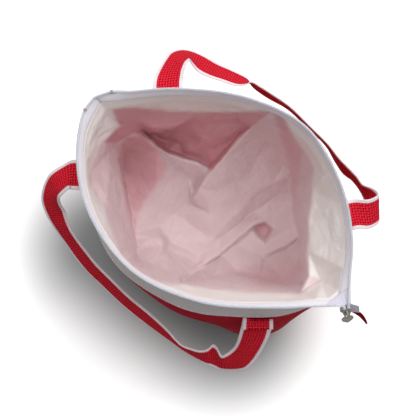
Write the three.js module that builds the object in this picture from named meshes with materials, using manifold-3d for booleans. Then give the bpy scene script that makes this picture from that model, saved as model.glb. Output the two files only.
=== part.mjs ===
// A soft cooler bag that stands on its base with its zip mouth wide open.
// Millimetres, +Z up. X runs along the bag towards the end of the zip, and -Y is the front.
// The origin is the centre of the base's flat underside.

import * as THREE from 'three';
import { mergeVertices } from 'three/addons/utils/BufferGeometryUtils.js';
import Module from 'manifold-3d';

const wasm = await Module();
wasm.setup();

// The bag: a long base with round corners, and a mouth spread into a lens.
const bagHeight = 305;
const bandHeight = 60;
const baseLength = 262;
const baseDepth = 148;
const baseCorner = 38;
const mouthLeft = 164;
const mouthRight = 151;
const mouthFront = 107;
const mouthBack = 111;
const frontBelly = 23;
const backBelly = 14;

// The layers of the wall, from the outside in.
const shellThickness = 0.8;
const foamThickness = 3;
const linerThickness = 0.5;
const layerGap = 0.3;

// The zip along the rim.
const tapeThickness = 0.6;
const tapeSewnDepth = 12;
const tapeRise = 8;
const tapeLean = 3.2;
const tapeCornerLean = 6;
const coilRadius = 1.4;
const coilRib = 0.35;
const coilPitch = 4.4;
const neckDrop = 0.9;
const stopLength = 2.6;

// The zip's tail, which leaves the right corner and turns to the front.
const tailTurn = 36;
const tailDroop = 62;
const tailLength = 17;
const tailNearHalf = 6;
const tailFarHalf = 13;
const tailFlare = 3;
const tailPlace = 6;
const tailAside = 1;
const chainWidth = 4.8;
const chainHeight = 2.4;
const sliderLength = 10;
const sliderWidth = 8.4;
const sliderPlate = 1;
const sliderPlace = 7.6;
const bridgeLength = 7.2;
const bridgeRise = 3.6;
const bridgeBar = 1.1;
const pullLength = 19;
const pullWidth = 14;
const pullThickness = 1.2;
const pullHang = 2;
const tabLength = 21;
const tabWidth = 8;
const tabTip = 1.8;
const tabThickness = 1.2;

// The webbing of the handles.
const webWidth = 32;
const webThickness = 1.5;
const stubShare = 0.61;
const seamBelow = 1.2;
const strapFoot = 4;
const bendRadius = 4;

// The direction of the end tab at its start and at its tip, in the tail's frame.
const tabLeaves = [0.7, 0.62, 0.17];
const tabHangs = [0.88, 0.22, 0.4];

const columns = 24;
const panelLevels = 6;
const handleSteps = 48;
const settleRows = 6;
const front = -1;
const back = 1;

// The mouth's two curves, from the left side seam to the right one,
// as shares of its reach to each side of the origin and of its depth.
const mouthCurves = {
  [front]: [
    [-1, 0], [-0.93, 0.34], [-0.64, 0.79], [-0.17, 1],
    [0.3, 0.81], [0.7, 0.39], [0.92, 0.09], [1, 0],
  ],
  [back]: [
    [-1, 0], [-0.645, 0.53], [-0.29, 0.87], [0.1, 1],
    [0.53, 0.78], [0.82, 0.42], [0.95, 0.12], [1, 0],
  ],
};

// How far the loose liner hangs off the wall at the band's seam, in folds, from the left
// side seam to the right one: a share of the way and the distance.
const linerSlack = {
  [front]: [
    [0, 8], [0.08, 4], [0.24, 12], [0.32, 5], [0.46, 3],
    [0.54, 14], [0.62, 10], [0.7, 14], [0.8, 9], [1, 16],
  ],
  [back]: [
    [0, 9], [0.08, 14], [0.18, 6], [0.3, 12], [0.42, 4],
    [0.56, 4], [0.66, 10], [0.74, 12], [0.84, 28], [1, 17],
  ],
};
const linerTaut = 60;

// Where the webbing is sewn up the wall, as shares of the way between the side seams.
const strapShares = { [front]: [0.168, 0.8], [back]: [0.172, 0.77] };

// The hanging loops. Each row is x, y and z of the webbing's middle and its lean in degrees:
// 90 lies flat, 0 stands on edge, and the sign says which way the top edge leans.
const frontRoute = [
  [-155, -91, 242, -82],
  [-154, -100, 236, -60],
  [-146, -112, 222, -38],
  [-124, -123, 207, -22],
  [-96, -130, 191, 4],
  [-62, -138, 178, 29],
  [-16, -136, 176, 30],
  [28, -134, 172, 28],
  [60, -131, 170, 12],
  [84, -126, 174, -12],
  [102, -118, 187, -34],
  [112, -108, 210, -48],
  [116, -99, 232, -66],
  [117, -90, 241, -84],
];
const backRoute = [
  [-138, 84, 242, 85],
  [-141, 94, 238, 76],
  [-139, 103, 228, 62],
  [-126, 112, 217, 54],
  [-102, 122, 205, 48],
  [-76, 131, 193, 32],
  [-42, 139, 180, 13],
  [0, 142, 172, 10],
  [42, 136, 178, 10],
  [76, 124, 200, 12],
  [100, 114, 226, 40],
  [110, 110, 239, 70],
  [114, 105, 242, 84],
];

const colours = {
  red: { color: 0xc21d30, roughness: 0.85, metalness: 0 },
  white: { color: 0xe6e3e6, roughness: 0.8, metalness: 0 },
  foam: { color: 0xf2f2f0, roughness: 0.9, metalness: 0 },
  liner: { color: 0xe2dcdc, roughness: 0.45, metalness: 0 },
  zip: { color: 0xd9d7de, roughness: 0.6, metalness: 0 },
  nickel: { color: 0x9a958f, roughness: 0.35, metalness: 1 },
};

const bag = new THREE.Group();

function addMesh(name, geometry, colour, parent = bag) {
  const mesh = new THREE.Mesh(geometry, new THREE.MeshStandardMaterial(colours[colour]));
  mesh.name = name;
  parent.add(mesh);
  return mesh;
}

function toRadians(degrees) {
  return degrees * Math.PI / 180;
}

// Six times the volume inside a mesh; it is negative when the faces point inwards.
function signedVolume(points, triangles) {
  let sum = 0;
  for (let i = 0; i < triangles.length; i += 3) {
    const [a, b, c] = [points[triangles[i]], points[triangles[i + 1]], points[triangles[i + 2]]];
    sum += a.dot(b.clone().cross(c));
  }
  return sum;
}

function closedMesh(points, triangles) {
  if (signedVolume(points, triangles) < 0) {
    triangles.reverse();
  }
  const geometry = new THREE.BufferGeometry().setFromPoints(points);
  geometry.setIndex(triangles);
  return geometry;
}

// A closed sheet between two grids of points with as many rows and columns.
function slab(outer, inner) {
  const rows = outer.length;
  const cols = outer[0].length;
  const points = [...outer.flat(), ...inner.flat()];
  const triangles = [];
  const at = (face, row, col) => face * rows * cols + row * cols + col;
  const quad = (a, b, c, d) => triangles.push(a, b, c, a, c, d);
  for (let r = 0; r + 1 < rows; r++) {
    for (let c = 0; c + 1 < cols; c++) {
      quad(at(0, r, c), at(0, r, c + 1), at(0, r + 1, c + 1), at(0, r + 1, c));
      quad(at(1, r, c), at(1, r + 1, c), at(1, r + 1, c + 1), at(1, r, c + 1));
    }
    quad(at(0, r, 0), at(0, r + 1, 0), at(1, r + 1, 0), at(1, r, 0));
    quad(at(0, r, cols - 1), at(1, r, cols - 1), at(1, r + 1, cols - 1), at(0, r + 1, cols - 1));
  }
  for (let c = 0; c + 1 < cols; c++) {
    quad(at(0, 0, c), at(1, 0, c), at(1, 0, c + 1), at(0, 0, c + 1));
    quad(at(0, rows - 1, c), at(0, rows - 1, c + 1), at(1, rows - 1, c + 1), at(1, rows - 1, c));
  }
  return closedMesh(points, triangles);
}

// A closed tube through rings of as many points, with a flat cap at each end.
function skin(rings) {
  const sides = rings[0].length;
  const points = rings.flat();
  const triangles = [];
  for (let r = 0; r + 1 < rings.length; r++) {
    for (let s = 0; s < sides; s++) {
      const next = (s + 1) % sides;
      const [a, b] = [r * sides + s, r * sides + next];
      triangles.push(a, b, b + sides, a, b + sides, a + sides);
    }
  }
  const last = (rings.length - 1) * sides;
  for (let s = 1; s + 1 < sides; s++) {
    triangles.push(0, s + 1, s);
    triangles.push(last, last + s, last + s + 1);
  }
  return closedMesh(points, triangles);
}

function toSolid(geometry) {
  const plain = geometry.clone();
  plain.deleteAttribute('normal');
  plain.deleteAttribute('uv');
  const merged = mergeVertices(plain, 1e-5);
  return new wasm.Manifold(new wasm.Mesh({
    numProp: 3,
    vertProperties: new Float32Array(merged.attributes.position.array),
    triVerts: new Uint32Array(merged.index.array),
  }));
}

function toGeometry(solid) {
  const mesh = solid.getMesh();
  const geometry = new THREE.BufferGeometry();
  geometry.setAttribute('position', new THREE.BufferAttribute(new Float32Array(mesh.vertProperties), 3));
  geometry.setIndex([...mesh.triVerts]);
  return geometry;
}

function join(...geometries) {
  return toGeometry(geometries.map(toSolid).reduce((sum, solid) => sum.add(solid)));
}

function cut(geometry, ...cutters) {
  return toGeometry(cutters.map(toSolid).reduce((rest, solid) => rest.subtract(solid), toSolid(geometry)));
}

// A box between two corners.
function block(low, high) {
  const size = high.map((value, axis) => value - low[axis]);
  const middle = high.map((value, axis) => (value + low[axis]) / 2);
  return new THREE.BoxGeometry(...size).translate(...middle);
}

// The front and back halves are cut clear of each other at the side seams.
function trimAtSeams(geometry, side) {
  const far = bagHeight * 2;
  const edge = side * layerGap / 2;
  const [low, high] = side === front ? [edge, far] : [-far, edge];
  return cut(geometry, block([-far, low, -far], [far, high, far]));
}

// Half of the base's outline, from the left side seam round to the right one.
function baseHalf(side) {
  const [x, y] = [baseLength / 2, side * baseDepth / 2];
  const inset = side * baseCorner;
  const clockwise = side === back;
  const path = new THREE.Path();
  path.moveTo(-x, 0);
  path.lineTo(-x, y - inset);
  path.absarc(baseCorner - x, y - inset, baseCorner, Math.PI, Math.PI - side * Math.PI / 2, clockwise);
  path.lineTo(x - baseCorner, y);
  path.absarc(x - baseCorner, y - inset, baseCorner, side * Math.PI / 2, 0, clockwise);
  path.lineTo(x, 0);
  return path.getSpacedPoints(columns);
}

function mouthHalf(side) {
  const depth = side === front ? mouthFront : mouthBack;
  const points = mouthCurves[side].map(([x, y]) => {
    return new THREE.Vector3(x * (x < 0 ? mouthLeft : mouthRight), side * y * depth, 0);
  });
  return new THREE.CatmullRomCurve3(points, false, 'centripetal')
    .getSpacedPoints(columns)
    .map((point) => new THREE.Vector2(point.x, point.y));
}

const baseLines = { [front]: baseHalf(front), [back]: baseHalf(back) };
const mouthLines = { [front]: mouthHalf(front), [back]: mouthHalf(back) };

// The outward direction at one point of a half outline. At the two side seams it lies along
// the bag, so that the front and back halves meet there.
function outward(line, index, side) {
  if (index === 0 || index === line.length - 1) {
    return new THREE.Vector2(index === 0 ? -1 : 1, 0);
  }
  const along = line[index + 1].clone().sub(line[index - 1]).normalize();
  return new THREE.Vector2(-side * along.y, side * along.x);
}

function offset(line, side, distance) {
  return line.map((point, i) => point.clone().addScaledVector(outward(line, i, side), distance(i)));
}

// Half of the wall's outline at one of its levels, a share of the way up.
function levelRing(side, share) {
  const belly = (side === front ? frontBelly : backBelly) * Math.sin(Math.PI * share);
  const line = baseLines[side].map((point, i) => point.clone().lerp(mouthLines[side][i], share));
  return offset(line, side, (i) => belly * Math.sin(Math.PI * i / columns));
}

// Evenly spaced values from one end to the other.
function spread(low, high, count) {
  return Array.from({ length: count + 1 }, (_, i) => low + (high - low) * i / count);
}

const panelTop = bagHeight - bandHeight;
const tapeLow = bagHeight - tapeSewnDepth;
const foamTop = tapeLow - foamThickness - 2;
const bandMiddle = (panelTop + foamTop) / 2;
const wallHeights = [...spread(0, panelTop, panelLevels), bandMiddle, foamTop, tapeLow, bagHeight];
const wallRings = {};
for (const side of [front, back]) {
  wallRings[side] = wallHeights.map((height) => levelRing(side, height / bagHeight));
}

// Half of the wall's outline at any height, moved inwards by a distance, which may be a rule
// for each column. Every layer follows the same levels, so that the layers stay parallel.
function ring(side, height, inwards = 0) {
  const distance = typeof inwards === 'function' ? inwards : () => inwards;
  const above = Math.max(1, wallHeights.findIndex((level) => level >= Math.min(height, bagHeight)));
  const [low, high] = [wallHeights[above - 1], wallHeights[above]];
  const share = (Math.min(height, bagHeight) - low) / (high - low);
  const line = wallRings[side][above - 1].map((point, i) => {
    return point.clone().lerp(wallRings[side][above][i], share);
  });
  return offset(line, side, (column) => -distance(column));
}

function ring3(side, height, inwards) {
  return ring(side, height, inwards).map((point) => new THREE.Vector3(point.x, point.y, height));
}

// The wall's own levels between two heights, with the two heights as ends.
function levels(low, high) {
  const room = 1;
  const between = wallHeights.filter((level) => level > low + room && level < high - room);
  return [low, ...between, high];
}

// One layer of one half of the wall. The places are distances inwards at a height and column.
function wallLayer(side, heights, place, thickness) {
  const outer = heights.map((z) => ring3(side, z, (column) => place(z, column)));
  const inner = heights.map((z) => ring3(side, z, (column) => place(z, column) + thickness));
  return trimAtSeams(slab(outer, inner), side);
}

const foamPlace = shellThickness + layerGap;
const linerPlace = foamPlace + foamThickness + layerGap;
const tapePlace = shellThickness + layerGap;
const linerTopPlace = tapePlace + tapeThickness + layerGap;

// The value at a share of the way along a list of shares and values.
function valueAt(list, share) {
  const next = Math.max(1, list.findIndex(([place]) => place >= share));
  const [[low, first], [high, second]] = [list[next - 1], list[next]];
  return first + (second - first) * (share - low) / (high - low);
}

const linerTop = bagHeight - 2;
const linerStep = foamTop + foamThickness + 3;

// The liner follows the foam, then steps outwards over its top edge to the zip's tape.
// Between its sewn top edge and the base it hangs loose, most at the band's seam.
function linerAt(side, height, column) {
  const { smoothstep } = THREE.MathUtils;
  const step = smoothstep(height, foamTop + layerGap, linerStep);
  const hang = smoothstep(height, linerTaut, panelTop) * (1 - smoothstep(height, panelTop, linerTop));
  const slack = valueAt(linerSlack[side], column / columns) * hang;
  return linerPlace + (linerTopPlace - linerPlace) * step + slack;
}

function addWalls() {
  const foamBottom = foamPlace + foamThickness + layerGap;
  const linerBottom = foamBottom + linerThickness + layerGap;
  for (const [name, side] of [['front', front], ['back', back]]) {
    const panelRows = levels(foamPlace, panelTop - layerGap);
    addMesh(`panel_${name}`, wallLayer(side, panelRows, () => 0, shellThickness), 'red');
    addMesh(`band_${name}`, wallLayer(side, levels(panelTop, bagHeight), () => 0, shellThickness), 'white');
    const foamRows = levels(foamBottom, foamTop);
    addMesh(`insulation_${name}`, wallLayer(side, foamRows, () => foamPlace, foamThickness), 'foam');
    const linerRows = [...levels(linerBottom, foamTop), linerStep, linerTop];
    const linerRule = (z, column) => linerAt(side, z, column);
    addMesh(`liner_${name}`, wallLayer(side, linerRows, linerRule, linerThickness), 'liner');
  }
}

// A flat sheet on the base's outline, moved inwards.
function baseSheet(inwards, low, thickness) {
  const outline = [...ring(front, 0, inwards), ...ring(back, 0, inwards).reverse().slice(1, -1)];
  const shape = new THREE.Shape(outline);
  return new THREE.ExtrudeGeometry(shape, { depth: thickness, bevelEnabled: false }).translate(0, 0, low);
}

function addBase() {
  addMesh('base_panel', baseSheet(0, 0, shellThickness), 'red');
  addMesh('insulation_base', baseSheet(foamPlace, foamPlace, foamThickness), 'foam');
  const linerLow = foamPlace + foamThickness + layerGap;
  addMesh('liner_base', baseSheet(linerPlace, linerLow, linerThickness), 'liner');
}

// How far inwards the tape's top edge lies: it leans outwards, and most at the two corners.
function tapeTop(shift) {
  return (column) => {
    const toCorner = Math.abs(2 * column / columns - 1) ** 3;
    return tapePlace + shift - tapeLean - (tapeCornerLean - tapeLean) * toCorner;
  };
}

// The zip's tape is sewn in below the rim and leans outwards above it.
function zipTape(side) {
  const topHeight = (column) => {
    const neck = THREE.MathUtils.smoothstep(column, columns - 4, columns - 2);
    return bagHeight + tapeRise - neckDrop * neck;
  };
  const face = (shift) => [
    ring3(side, tapeLow, tapePlace + shift),
    ring3(side, bagHeight, tapePlace + shift),
    ring3(side, bagHeight + tapeRise, tapeTop(shift)).map((point, column) => {
      return point.setZ(topHeight(column));
    }),
  ];
  return trimAtSeams(slab(face(0), face(tapeThickness)), side);
}

// A ribbed strand: its rings swell and shrink once in each pitch along a curve.
function ribbedStrand(curve, width, height, pitch, rib, sides = 5) {
  const ribs = Math.max(2, Math.round(curve.getLength() / pitch));
  const rings = [];
  for (let i = 0; i <= ribs * 2; i++) {
    const along = curve.getPointAt(i / (ribs * 2));
    const heading = curve.getTangentAt(i / (ribs * 2));
    const across = new THREE.Vector3(heading.y, -heading.x, 0).normalize();
    const upright = across.clone().cross(heading);
    const swell = i % 2 ? 0 : -rib;
    const ringPoints = [];
    for (let s = 0; s < sides; s++) {
      const angle = 2 * Math.PI * (s + 0.5) / sides - Math.PI / 2;
      ringPoints.push(along.clone()
        .addScaledVector(across, (width / 2 + swell) * Math.cos(angle))
        .addScaledVector(upright, (height / 2 + swell) * Math.sin(angle)));
    }
    rings.push(ringPoints);
  }
  return skin(rings);
}

// The tail of the zip has its own frame: x along it, y to its left, z off its face.
const tail = new THREE.Group();
const tailRise = tapeRise - neckDrop + layerGap + tapeThickness / 2;
tail.position.set(mouthRight + tailPlace, tailAside, bagHeight + tailRise);
tail.rotation.order = 'ZYX';
tail.rotation.z = toRadians(-tailTurn);
tail.rotation.y = toRadians(tailDroop);
tail.updateMatrix();
bag.add(tail);

const chainLow = tapeThickness / 2 + layerGap;
const sliderNose = sliderPlace - sliderLength / 2;
const postWidth = 1.6;
const postPlace = sliderNose + postWidth;
const postHalf = postWidth / 2;
const coilSpread = postWidth / 2 + layerGap + coilRadius;
const slotEnd = postPlace + postHalf + layerGap;
const coilEnd = slotEnd;

function zipCoil(side) {
  const rim = ring3(side, bagHeight, tapeTop(tapeThickness / 2));
  const coilHeight = tapeRise + layerGap + coilRadius;
  const start = 1;
  const points = rim.slice(start, columns - 2).map((point) => point.setZ(bagHeight + coilHeight));
  const onTail = (x) => {
    return new THREE.Vector3(x, side * coilSpread, chainLow + coilRadius).applyMatrix4(tail.matrix);
  };
  points.push(onTail(-1), onTail(coilEnd));
  const curve = new THREE.CatmullRomCurve3(points, false, 'centripetal');
  return ribbedStrand(curve, coilRadius * 2, coilRadius * 2, coilPitch, coilRib);
}

// A small clip that ends the coil at the left corner.
function addTopStop(name, side) {
  const rim = ring3(side, bagHeight, tapeTop(tapeThickness / 2));
  const toCoil = rim[1].clone().sub(rim[0]).normalize();
  const half = coilRadius + 0.2;
  const stop = block([-stopLength, -half, -half], [0, half, half]);
  const mesh = addMesh(`zip_top_stop_${name}`, stop, 'nickel');
  mesh.position.copy(rim[1]).addScaledVector(toCoil, -layerGap);
  mesh.position.z = bagHeight + tapeRise + layerGap + half;
  mesh.rotation.z = Math.atan2(toCoil.y, toCoil.x);
}

// The two tapes run together on the tail, and the far one flares out from beside the slider.
// A slot takes the slider's post.
const tailFlat = sliderWidth / 2 + 0.6;
const tailStart = -0.3;

function tailTape() {
  const flareEnd = 5;
  const stations = [tailStart, 2, flareEnd, tailLength * 0.6, tailLength];
  const section = (x, lift) => {
    const open = THREE.MathUtils.smoothstep(x, tailStart, flareEnd);
    const far = tailFlat + 0.4 + (tailFarHalf - tailFlat - 0.4) * open;
    const near = tailFlat - 1.4 + (tailNearHalf - tailFlat + 1.4) * open;
    return [
      new THREE.Vector3(x, -near, lift),
      new THREE.Vector3(x, tailFlat, lift),
      new THREE.Vector3(x, far, lift + tailFlare * open),
    ];
  };
  const upper = stations.map((x) => section(x, tapeThickness / 2));
  const lower = stations.map((x) => section(x, -tapeThickness / 2));
  const slotHalf = postHalf + layerGap;
  const slotStart = tailStart - 1;
  const slot = block([slotStart, -slotHalf, -tapeThickness], [slotEnd, slotHalf, tapeThickness]);
  return cut(slab(upper, lower), slot);
}

function zipSlider() {
  const half = sliderWidth / 2;
  const nose = half - 0.4;
  const waist = chainWidth / 2 + layerGap;
  const outline = new THREE.Shape();
  outline.moveTo(-sliderLength / 2, 1 - nose);
  outline.quadraticCurveTo(-sliderLength / 2, -half, -sliderLength / 2 + 1.5, -half);
  outline.quadraticCurveTo(sliderLength / 2, -half, sliderLength / 2, -waist);
  outline.lineTo(sliderLength / 2, waist);
  outline.quadraticCurveTo(sliderLength / 2, half, -sliderLength / 2 + 1.5, half);
  outline.quadraticCurveTo(-sliderLength / 2, half, -sliderLength / 2, nose - 1);
  const topLow = chainLow + Math.max(chainHeight, 2 * coilRadius) + layerGap;
  const plateSteps = { depth: sliderPlate, bevelEnabled: false, curveSegments: 6 };
  const plate = () => new THREE.ExtrudeGeometry(outline, plateSteps);
  const upper = plate().translate(0, 0, topLow);
  const lower = plate().translate(0, 0, -chainLow - sliderPlate);
  const postX = postPlace - sliderPlace;
  const inPlate = sliderPlate / 2;
  const postLow = [postX - postHalf, -postHalf, -chainLow - inPlate];
  const post = block(postLow, [postX + postHalf, postHalf, topLow + inPlate]);
  const flange = (side) => {
    const [low, high] = side > 0 ? [waist, waist + 0.9] : [-waist - 0.9, -waist];
    return block([0.5, low, chainLow], [sliderLength / 2 - 0.4, high, topLow + 0.5]);
  };
  const bridge = zipBridge().translate(0, 0, topLow + sliderPlate);
  return join(upper, lower, post, flange(-1), flange(1), bridge);
}

// The arch that carries the pull, along the slider.
function zipBridge() {
  const outer = bridgeLength / 2;
  const arch = new THREE.Shape();
  arch.absellipse(0, -0.3, outer, bridgeRise + 0.3, 0, Math.PI, false, 0);
  arch.absellipse(0, -0.3, outer - bridgeBar, bridgeRise + 0.3 - bridgeBar, Math.PI, 0, true, 0);
  const steps = { depth: bridgeBar * 1.4, bevelEnabled: false, curveSegments: 12 };
  const solid = new THREE.ExtrudeGeometry(arch, steps);
  return solid.rotateX(Math.PI / 2).translate(0, bridgeBar * 0.7, 0);
}

// A leaf-shaped pull. Its crossbar lies along y at the origin, under the slider's bridge.
function zipPull() {
  const half = pullWidth / 2;
  const eyeLength = 6.5;
  const eyeHalf = 2.6;
  const crossbar = pullThickness / 2;
  const leaf = new THREE.Shape();
  leaf.moveTo(-crossbar, -eyeHalf);
  leaf.lineTo(eyeLength - 1, -eyeHalf);
  leaf.bezierCurveTo(eyeLength + 2, -half, pullLength * 0.62, -half * 1.25, pullLength, 0);
  leaf.bezierCurveTo(pullLength * 0.62, half * 1.25, eyeLength + 2, half, eyeLength - 1, eyeHalf);
  leaf.lineTo(-crossbar, eyeHalf);
  const eye = new THREE.Path();
  eye.moveTo(crossbar, -eyeHalf + 1.1);
  eye.lineTo(crossbar, eyeHalf - 1.1);
  eye.lineTo(eyeLength, eyeHalf - 1.1);
  eye.lineTo(eyeLength, -eyeHalf + 1.1);
  leaf.holes.push(eye);
  const steps = { depth: pullThickness, bevelEnabled: false, curveSegments: 8 };
  return new THREE.ExtrudeGeometry(leaf, steps).translate(0, 0, -pullThickness / 2);
}

function addTail() {
  addMesh('zip_tail', tailTape(), 'zip', tail);
  const chainMiddle = chainLow + chainHeight / 2;
  const chainStart = coilEnd + layerGap + coilRib;
  const chain = new THREE.LineCurve3(
    new THREE.Vector3(chainStart, 0, chainMiddle),
    new THREE.Vector3(tailLength - stopLength - layerGap, 0, chainMiddle),
  );
  addMesh('zip_chain', ribbedStrand(chain, chainWidth, chainHeight, 1.6, coilRib, 8), 'zip', tail);
  const stopHalf = chainWidth / 2 + 0.4;
  const stopEnd = [tailLength, stopHalf, chainLow + chainHeight];
  const stop = block([tailLength - stopLength, -stopHalf, chainLow], stopEnd);
  addMesh('zip_bottom_stop', stop, 'nickel', tail);
  const slider = addMesh('zip_slider', zipSlider(), 'nickel', tail);
  slider.position.x = sliderPlace;
  const topLow = chainLow + Math.max(chainHeight, 2 * coilRadius) + layerGap;
  const pull = addMesh('zip_pull', zipPull(), 'nickel', tail);
  const barRoom = (bridgeRise - bridgeBar) / 2;
  pull.position.set(sliderPlace + 0.6, 0, topLow + sliderPlate + barRoom - 0.1);
  pull.rotation.y = toRadians(pullHang);
}

// A ribbon through rows of a middle point, a half width to its right and a face direction.
function ribbon(rows, thickness = webThickness) {
  const face = (lift) => rows.map(({ middle, side, up }) => [
    middle.clone().sub(side).addScaledVector(up, lift),
    middle.clone().add(side).addScaledVector(up, lift),
  ]);
  return slab(face(thickness / 2), face(-thickness / 2));
}

// The red tab at the end of the tail's flared flank, tapering as it hangs out from it.
function addEndTab() {
  const across = new THREE.Vector3(0, tailFarHalf - tailFlat, tailFlare).normalize();
  const corner = new THREE.Vector3(tailLength + layerGap, tailFarHalf, tailFlare);
  const seat = corner.addScaledVector(across, -tabWidth / 2);
  const [leaves, hangs] = [new THREE.Vector3(...tabLeaves), new THREE.Vector3(...tabHangs)];
  const tip = seat.clone().addScaledVector(leaves.clone().add(hangs).normalize(), tabLength);
  const middle = seat.clone().addScaledVector(leaves, tabLength / 2);
  const curve = new THREE.QuadraticBezierCurve3(seat, middle, tip);
  const stations = 6;
  const rows = spread(0, 1, stations).map((share) => {
    const half = (tabWidth + (tabTip - tabWidth) * share) / 2;
    const side = across.clone().multiplyScalar(half);
    const up = curve.getTangent(share).cross(across).normalize();
    return { middle: curve.getPoint(share), side, up };
  });
  addMesh('zip_end_tab', ribbon(rows, tabThickness), 'red', tail);
}

// The wall's surface at a share of the way from the left side seam to the right one.
function wallSpot(side, height, share, out) {
  const line = ring(side, height);
  const place = share * columns;
  const first = Math.min(Math.floor(place), columns - 1);
  const point = line[first].clone().lerp(line[first + 1], place - first);
  const along = line[first + 1].clone().sub(line[first]).normalize();
  const away = new THREE.Vector2(-side * along.y, side * along.x);
  point.addScaledVector(away, out);
  return {
    point: new THREE.Vector3(point.x, point.y, height),
    along: new THREE.Vector3(along.x, along.y, 0),
    away: new THREE.Vector3(away.x, away.y, 0),
  };
}

const webOut = layerGap + webThickness / 2;
const bendLow = panelTop - seamBelow - bendRadius;
const stubHeight = bendLow + bendRadius;

// Where the two straps of one side leave the wall, and where their stubs end.
// Both ends lie on one fold line, which is the hinge line of the hanging loop.
function strapRoots(side) {
  const roots = strapShares[side].map((share) => {
    const spot = wallSpot(side, stubHeight, share, webOut + bendRadius);
    return { share, ...spot, fold: spot.point.clone().addScaledVector(spot.away, webWidth * stubShare) };
  });
  const hinge = roots[1].fold.clone().sub(roots[0].fold).normalize();
  const outwards = new THREE.Vector3(-side * hinge.y, side * hinge.x, 0);
  return roots.map((root) => {
    const skew = webWidth / 2 / Math.abs(hinge.clone().cross(root.away).z);
    return { ...root, outwards, foldSide: hinge.clone().multiplyScalar(skew) };
  });
}

// The webbing sewn up the wall, which bends out flat at the band's seam.
function strap(side, root) {
  const { share } = root;
  const halfSide = root.along.clone().multiplyScalar(webWidth / 2);
  const rows = spread(strapFoot, bendLow - 4, 7).map((height) => {
    const spot = wallSpot(side, height, share, webOut);
    return { middle: spot.point, side: spot.along.clone().multiplyScalar(webWidth / 2), up: spot.away };
  });
  const wallEnd = wallSpot(side, bendLow, share, webOut).point;
  for (const turn of spread(0, 90, 3)) {
    const [sine, cosine] = [Math.sin(toRadians(turn)), Math.cos(toRadians(turn))];
    const middle = wallEnd.clone()
      .addScaledVector(root.away, bendRadius * (1 - cosine))
      .add(new THREE.Vector3(0, 0, bendRadius * sine));
    const up = root.away.clone().multiplyScalar(cosine).add(new THREE.Vector3(0, 0, -sine));
    rows.push({ middle, side: halfSide, up });
  }
  const end = root.fold.clone().addScaledVector(root.outwards, -layerGap / 2);
  rows.push({ middle: end, side: root.foldSide, up: new THREE.Vector3(0, 0, -1) });
  const face = (inwards) => levels(0, bagHeight).map((z) => ring3(side, z, inwards));
  return cut(ribbon(rows), slab(face(-layerGap), face(webThickness)));
}

// The hanging loop, from one fold line to the other.
function handle(side, roots, route) {
  const [first, last] = roots.map((root) => root.fold.clone().addScaledVector(root.outwards, layerGap / 2));
  const flatLean = side * 90;
  const stops = [
    { at: first, lean: flatLean },
    ...route.map(([x, y, z, lean]) => ({ at: new THREE.Vector3(x, y, z), lean })),
    { at: last, lean: flatLean },
  ];
  const curve = new THREE.CatmullRomCurve3(stops.map((stop) => stop.at), false, 'centripetal');
  const leans = new THREE.SplineCurve(stops.map((stop, i) => new THREE.Vector2(i, stop.lean)));
  const rows = spread(0, 1, handleSteps).map((share) => {
    const heading = curve.getTangent(share);
    const lean = toRadians(leans.getPoint(share).y);
    const level = new THREE.Vector3(heading.y, -heading.x, 0).normalize();
    const upright = level.clone().cross(heading).normalize();
    const toTop = upright.clone().multiplyScalar(Math.cos(lean)).addScaledVector(level, Math.sin(lean));
    const face = toTop.clone().cross(heading);
    return { middle: curve.getPoint(share), side: toTop.multiplyScalar(webWidth / 2), up: face };
  });
  return ribbon(settleEnds(rows, roots, side));
}

// Both ends of the loop settle onto the fold line of the strap that they meet.
function settleEnds(rows, roots, side) {
  const flat = new THREE.Vector3(0, 0, side);
  const foldSides = [roots[0].foldSide, roots[1].foldSide.clone().negate()];
  for (let i = 0; i < settleRows; i++) {
    const share = 1 - i / settleRows;
    [rows[i], rows.at(-1 - i)].forEach((row, end) => {
      row.side.lerp(foldSides[end], share);
      row.up.lerp(flat, share).normalize();
    });
  }
  return rows;
}

function addZip() {
  for (const [name, side] of [['front', front], ['back', back]]) {
    addMesh(`zip_tape_${name}`, zipTape(side), 'zip');
    addMesh(`zip_coil_${name}`, zipCoil(side), 'zip');
    addTopStop(name, side);
  }
}

function addStraps() {
  for (const [name, side, route] of [['front', front, frontRoute], ['back', back, backRoute]]) {
    const roots = strapRoots(side);
    addMesh(`strap_${name}_left`, strap(side, roots[0]), 'red');
    addMesh(`strap_${name}_right`, strap(side, roots[1]), 'red');
    addMesh(`handle_${name}`, handle(side, roots, route), 'red');
  }
}

addBase();
addWalls();
addZip();
addTail();
addEndTab();
addStraps();

export default bag;
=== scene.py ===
import math

import bmesh
import bpy
import numpy as np
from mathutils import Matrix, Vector, noise
from mathutils import geometry as shapes
from mathutils.bvhtree import BVHTree


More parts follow.
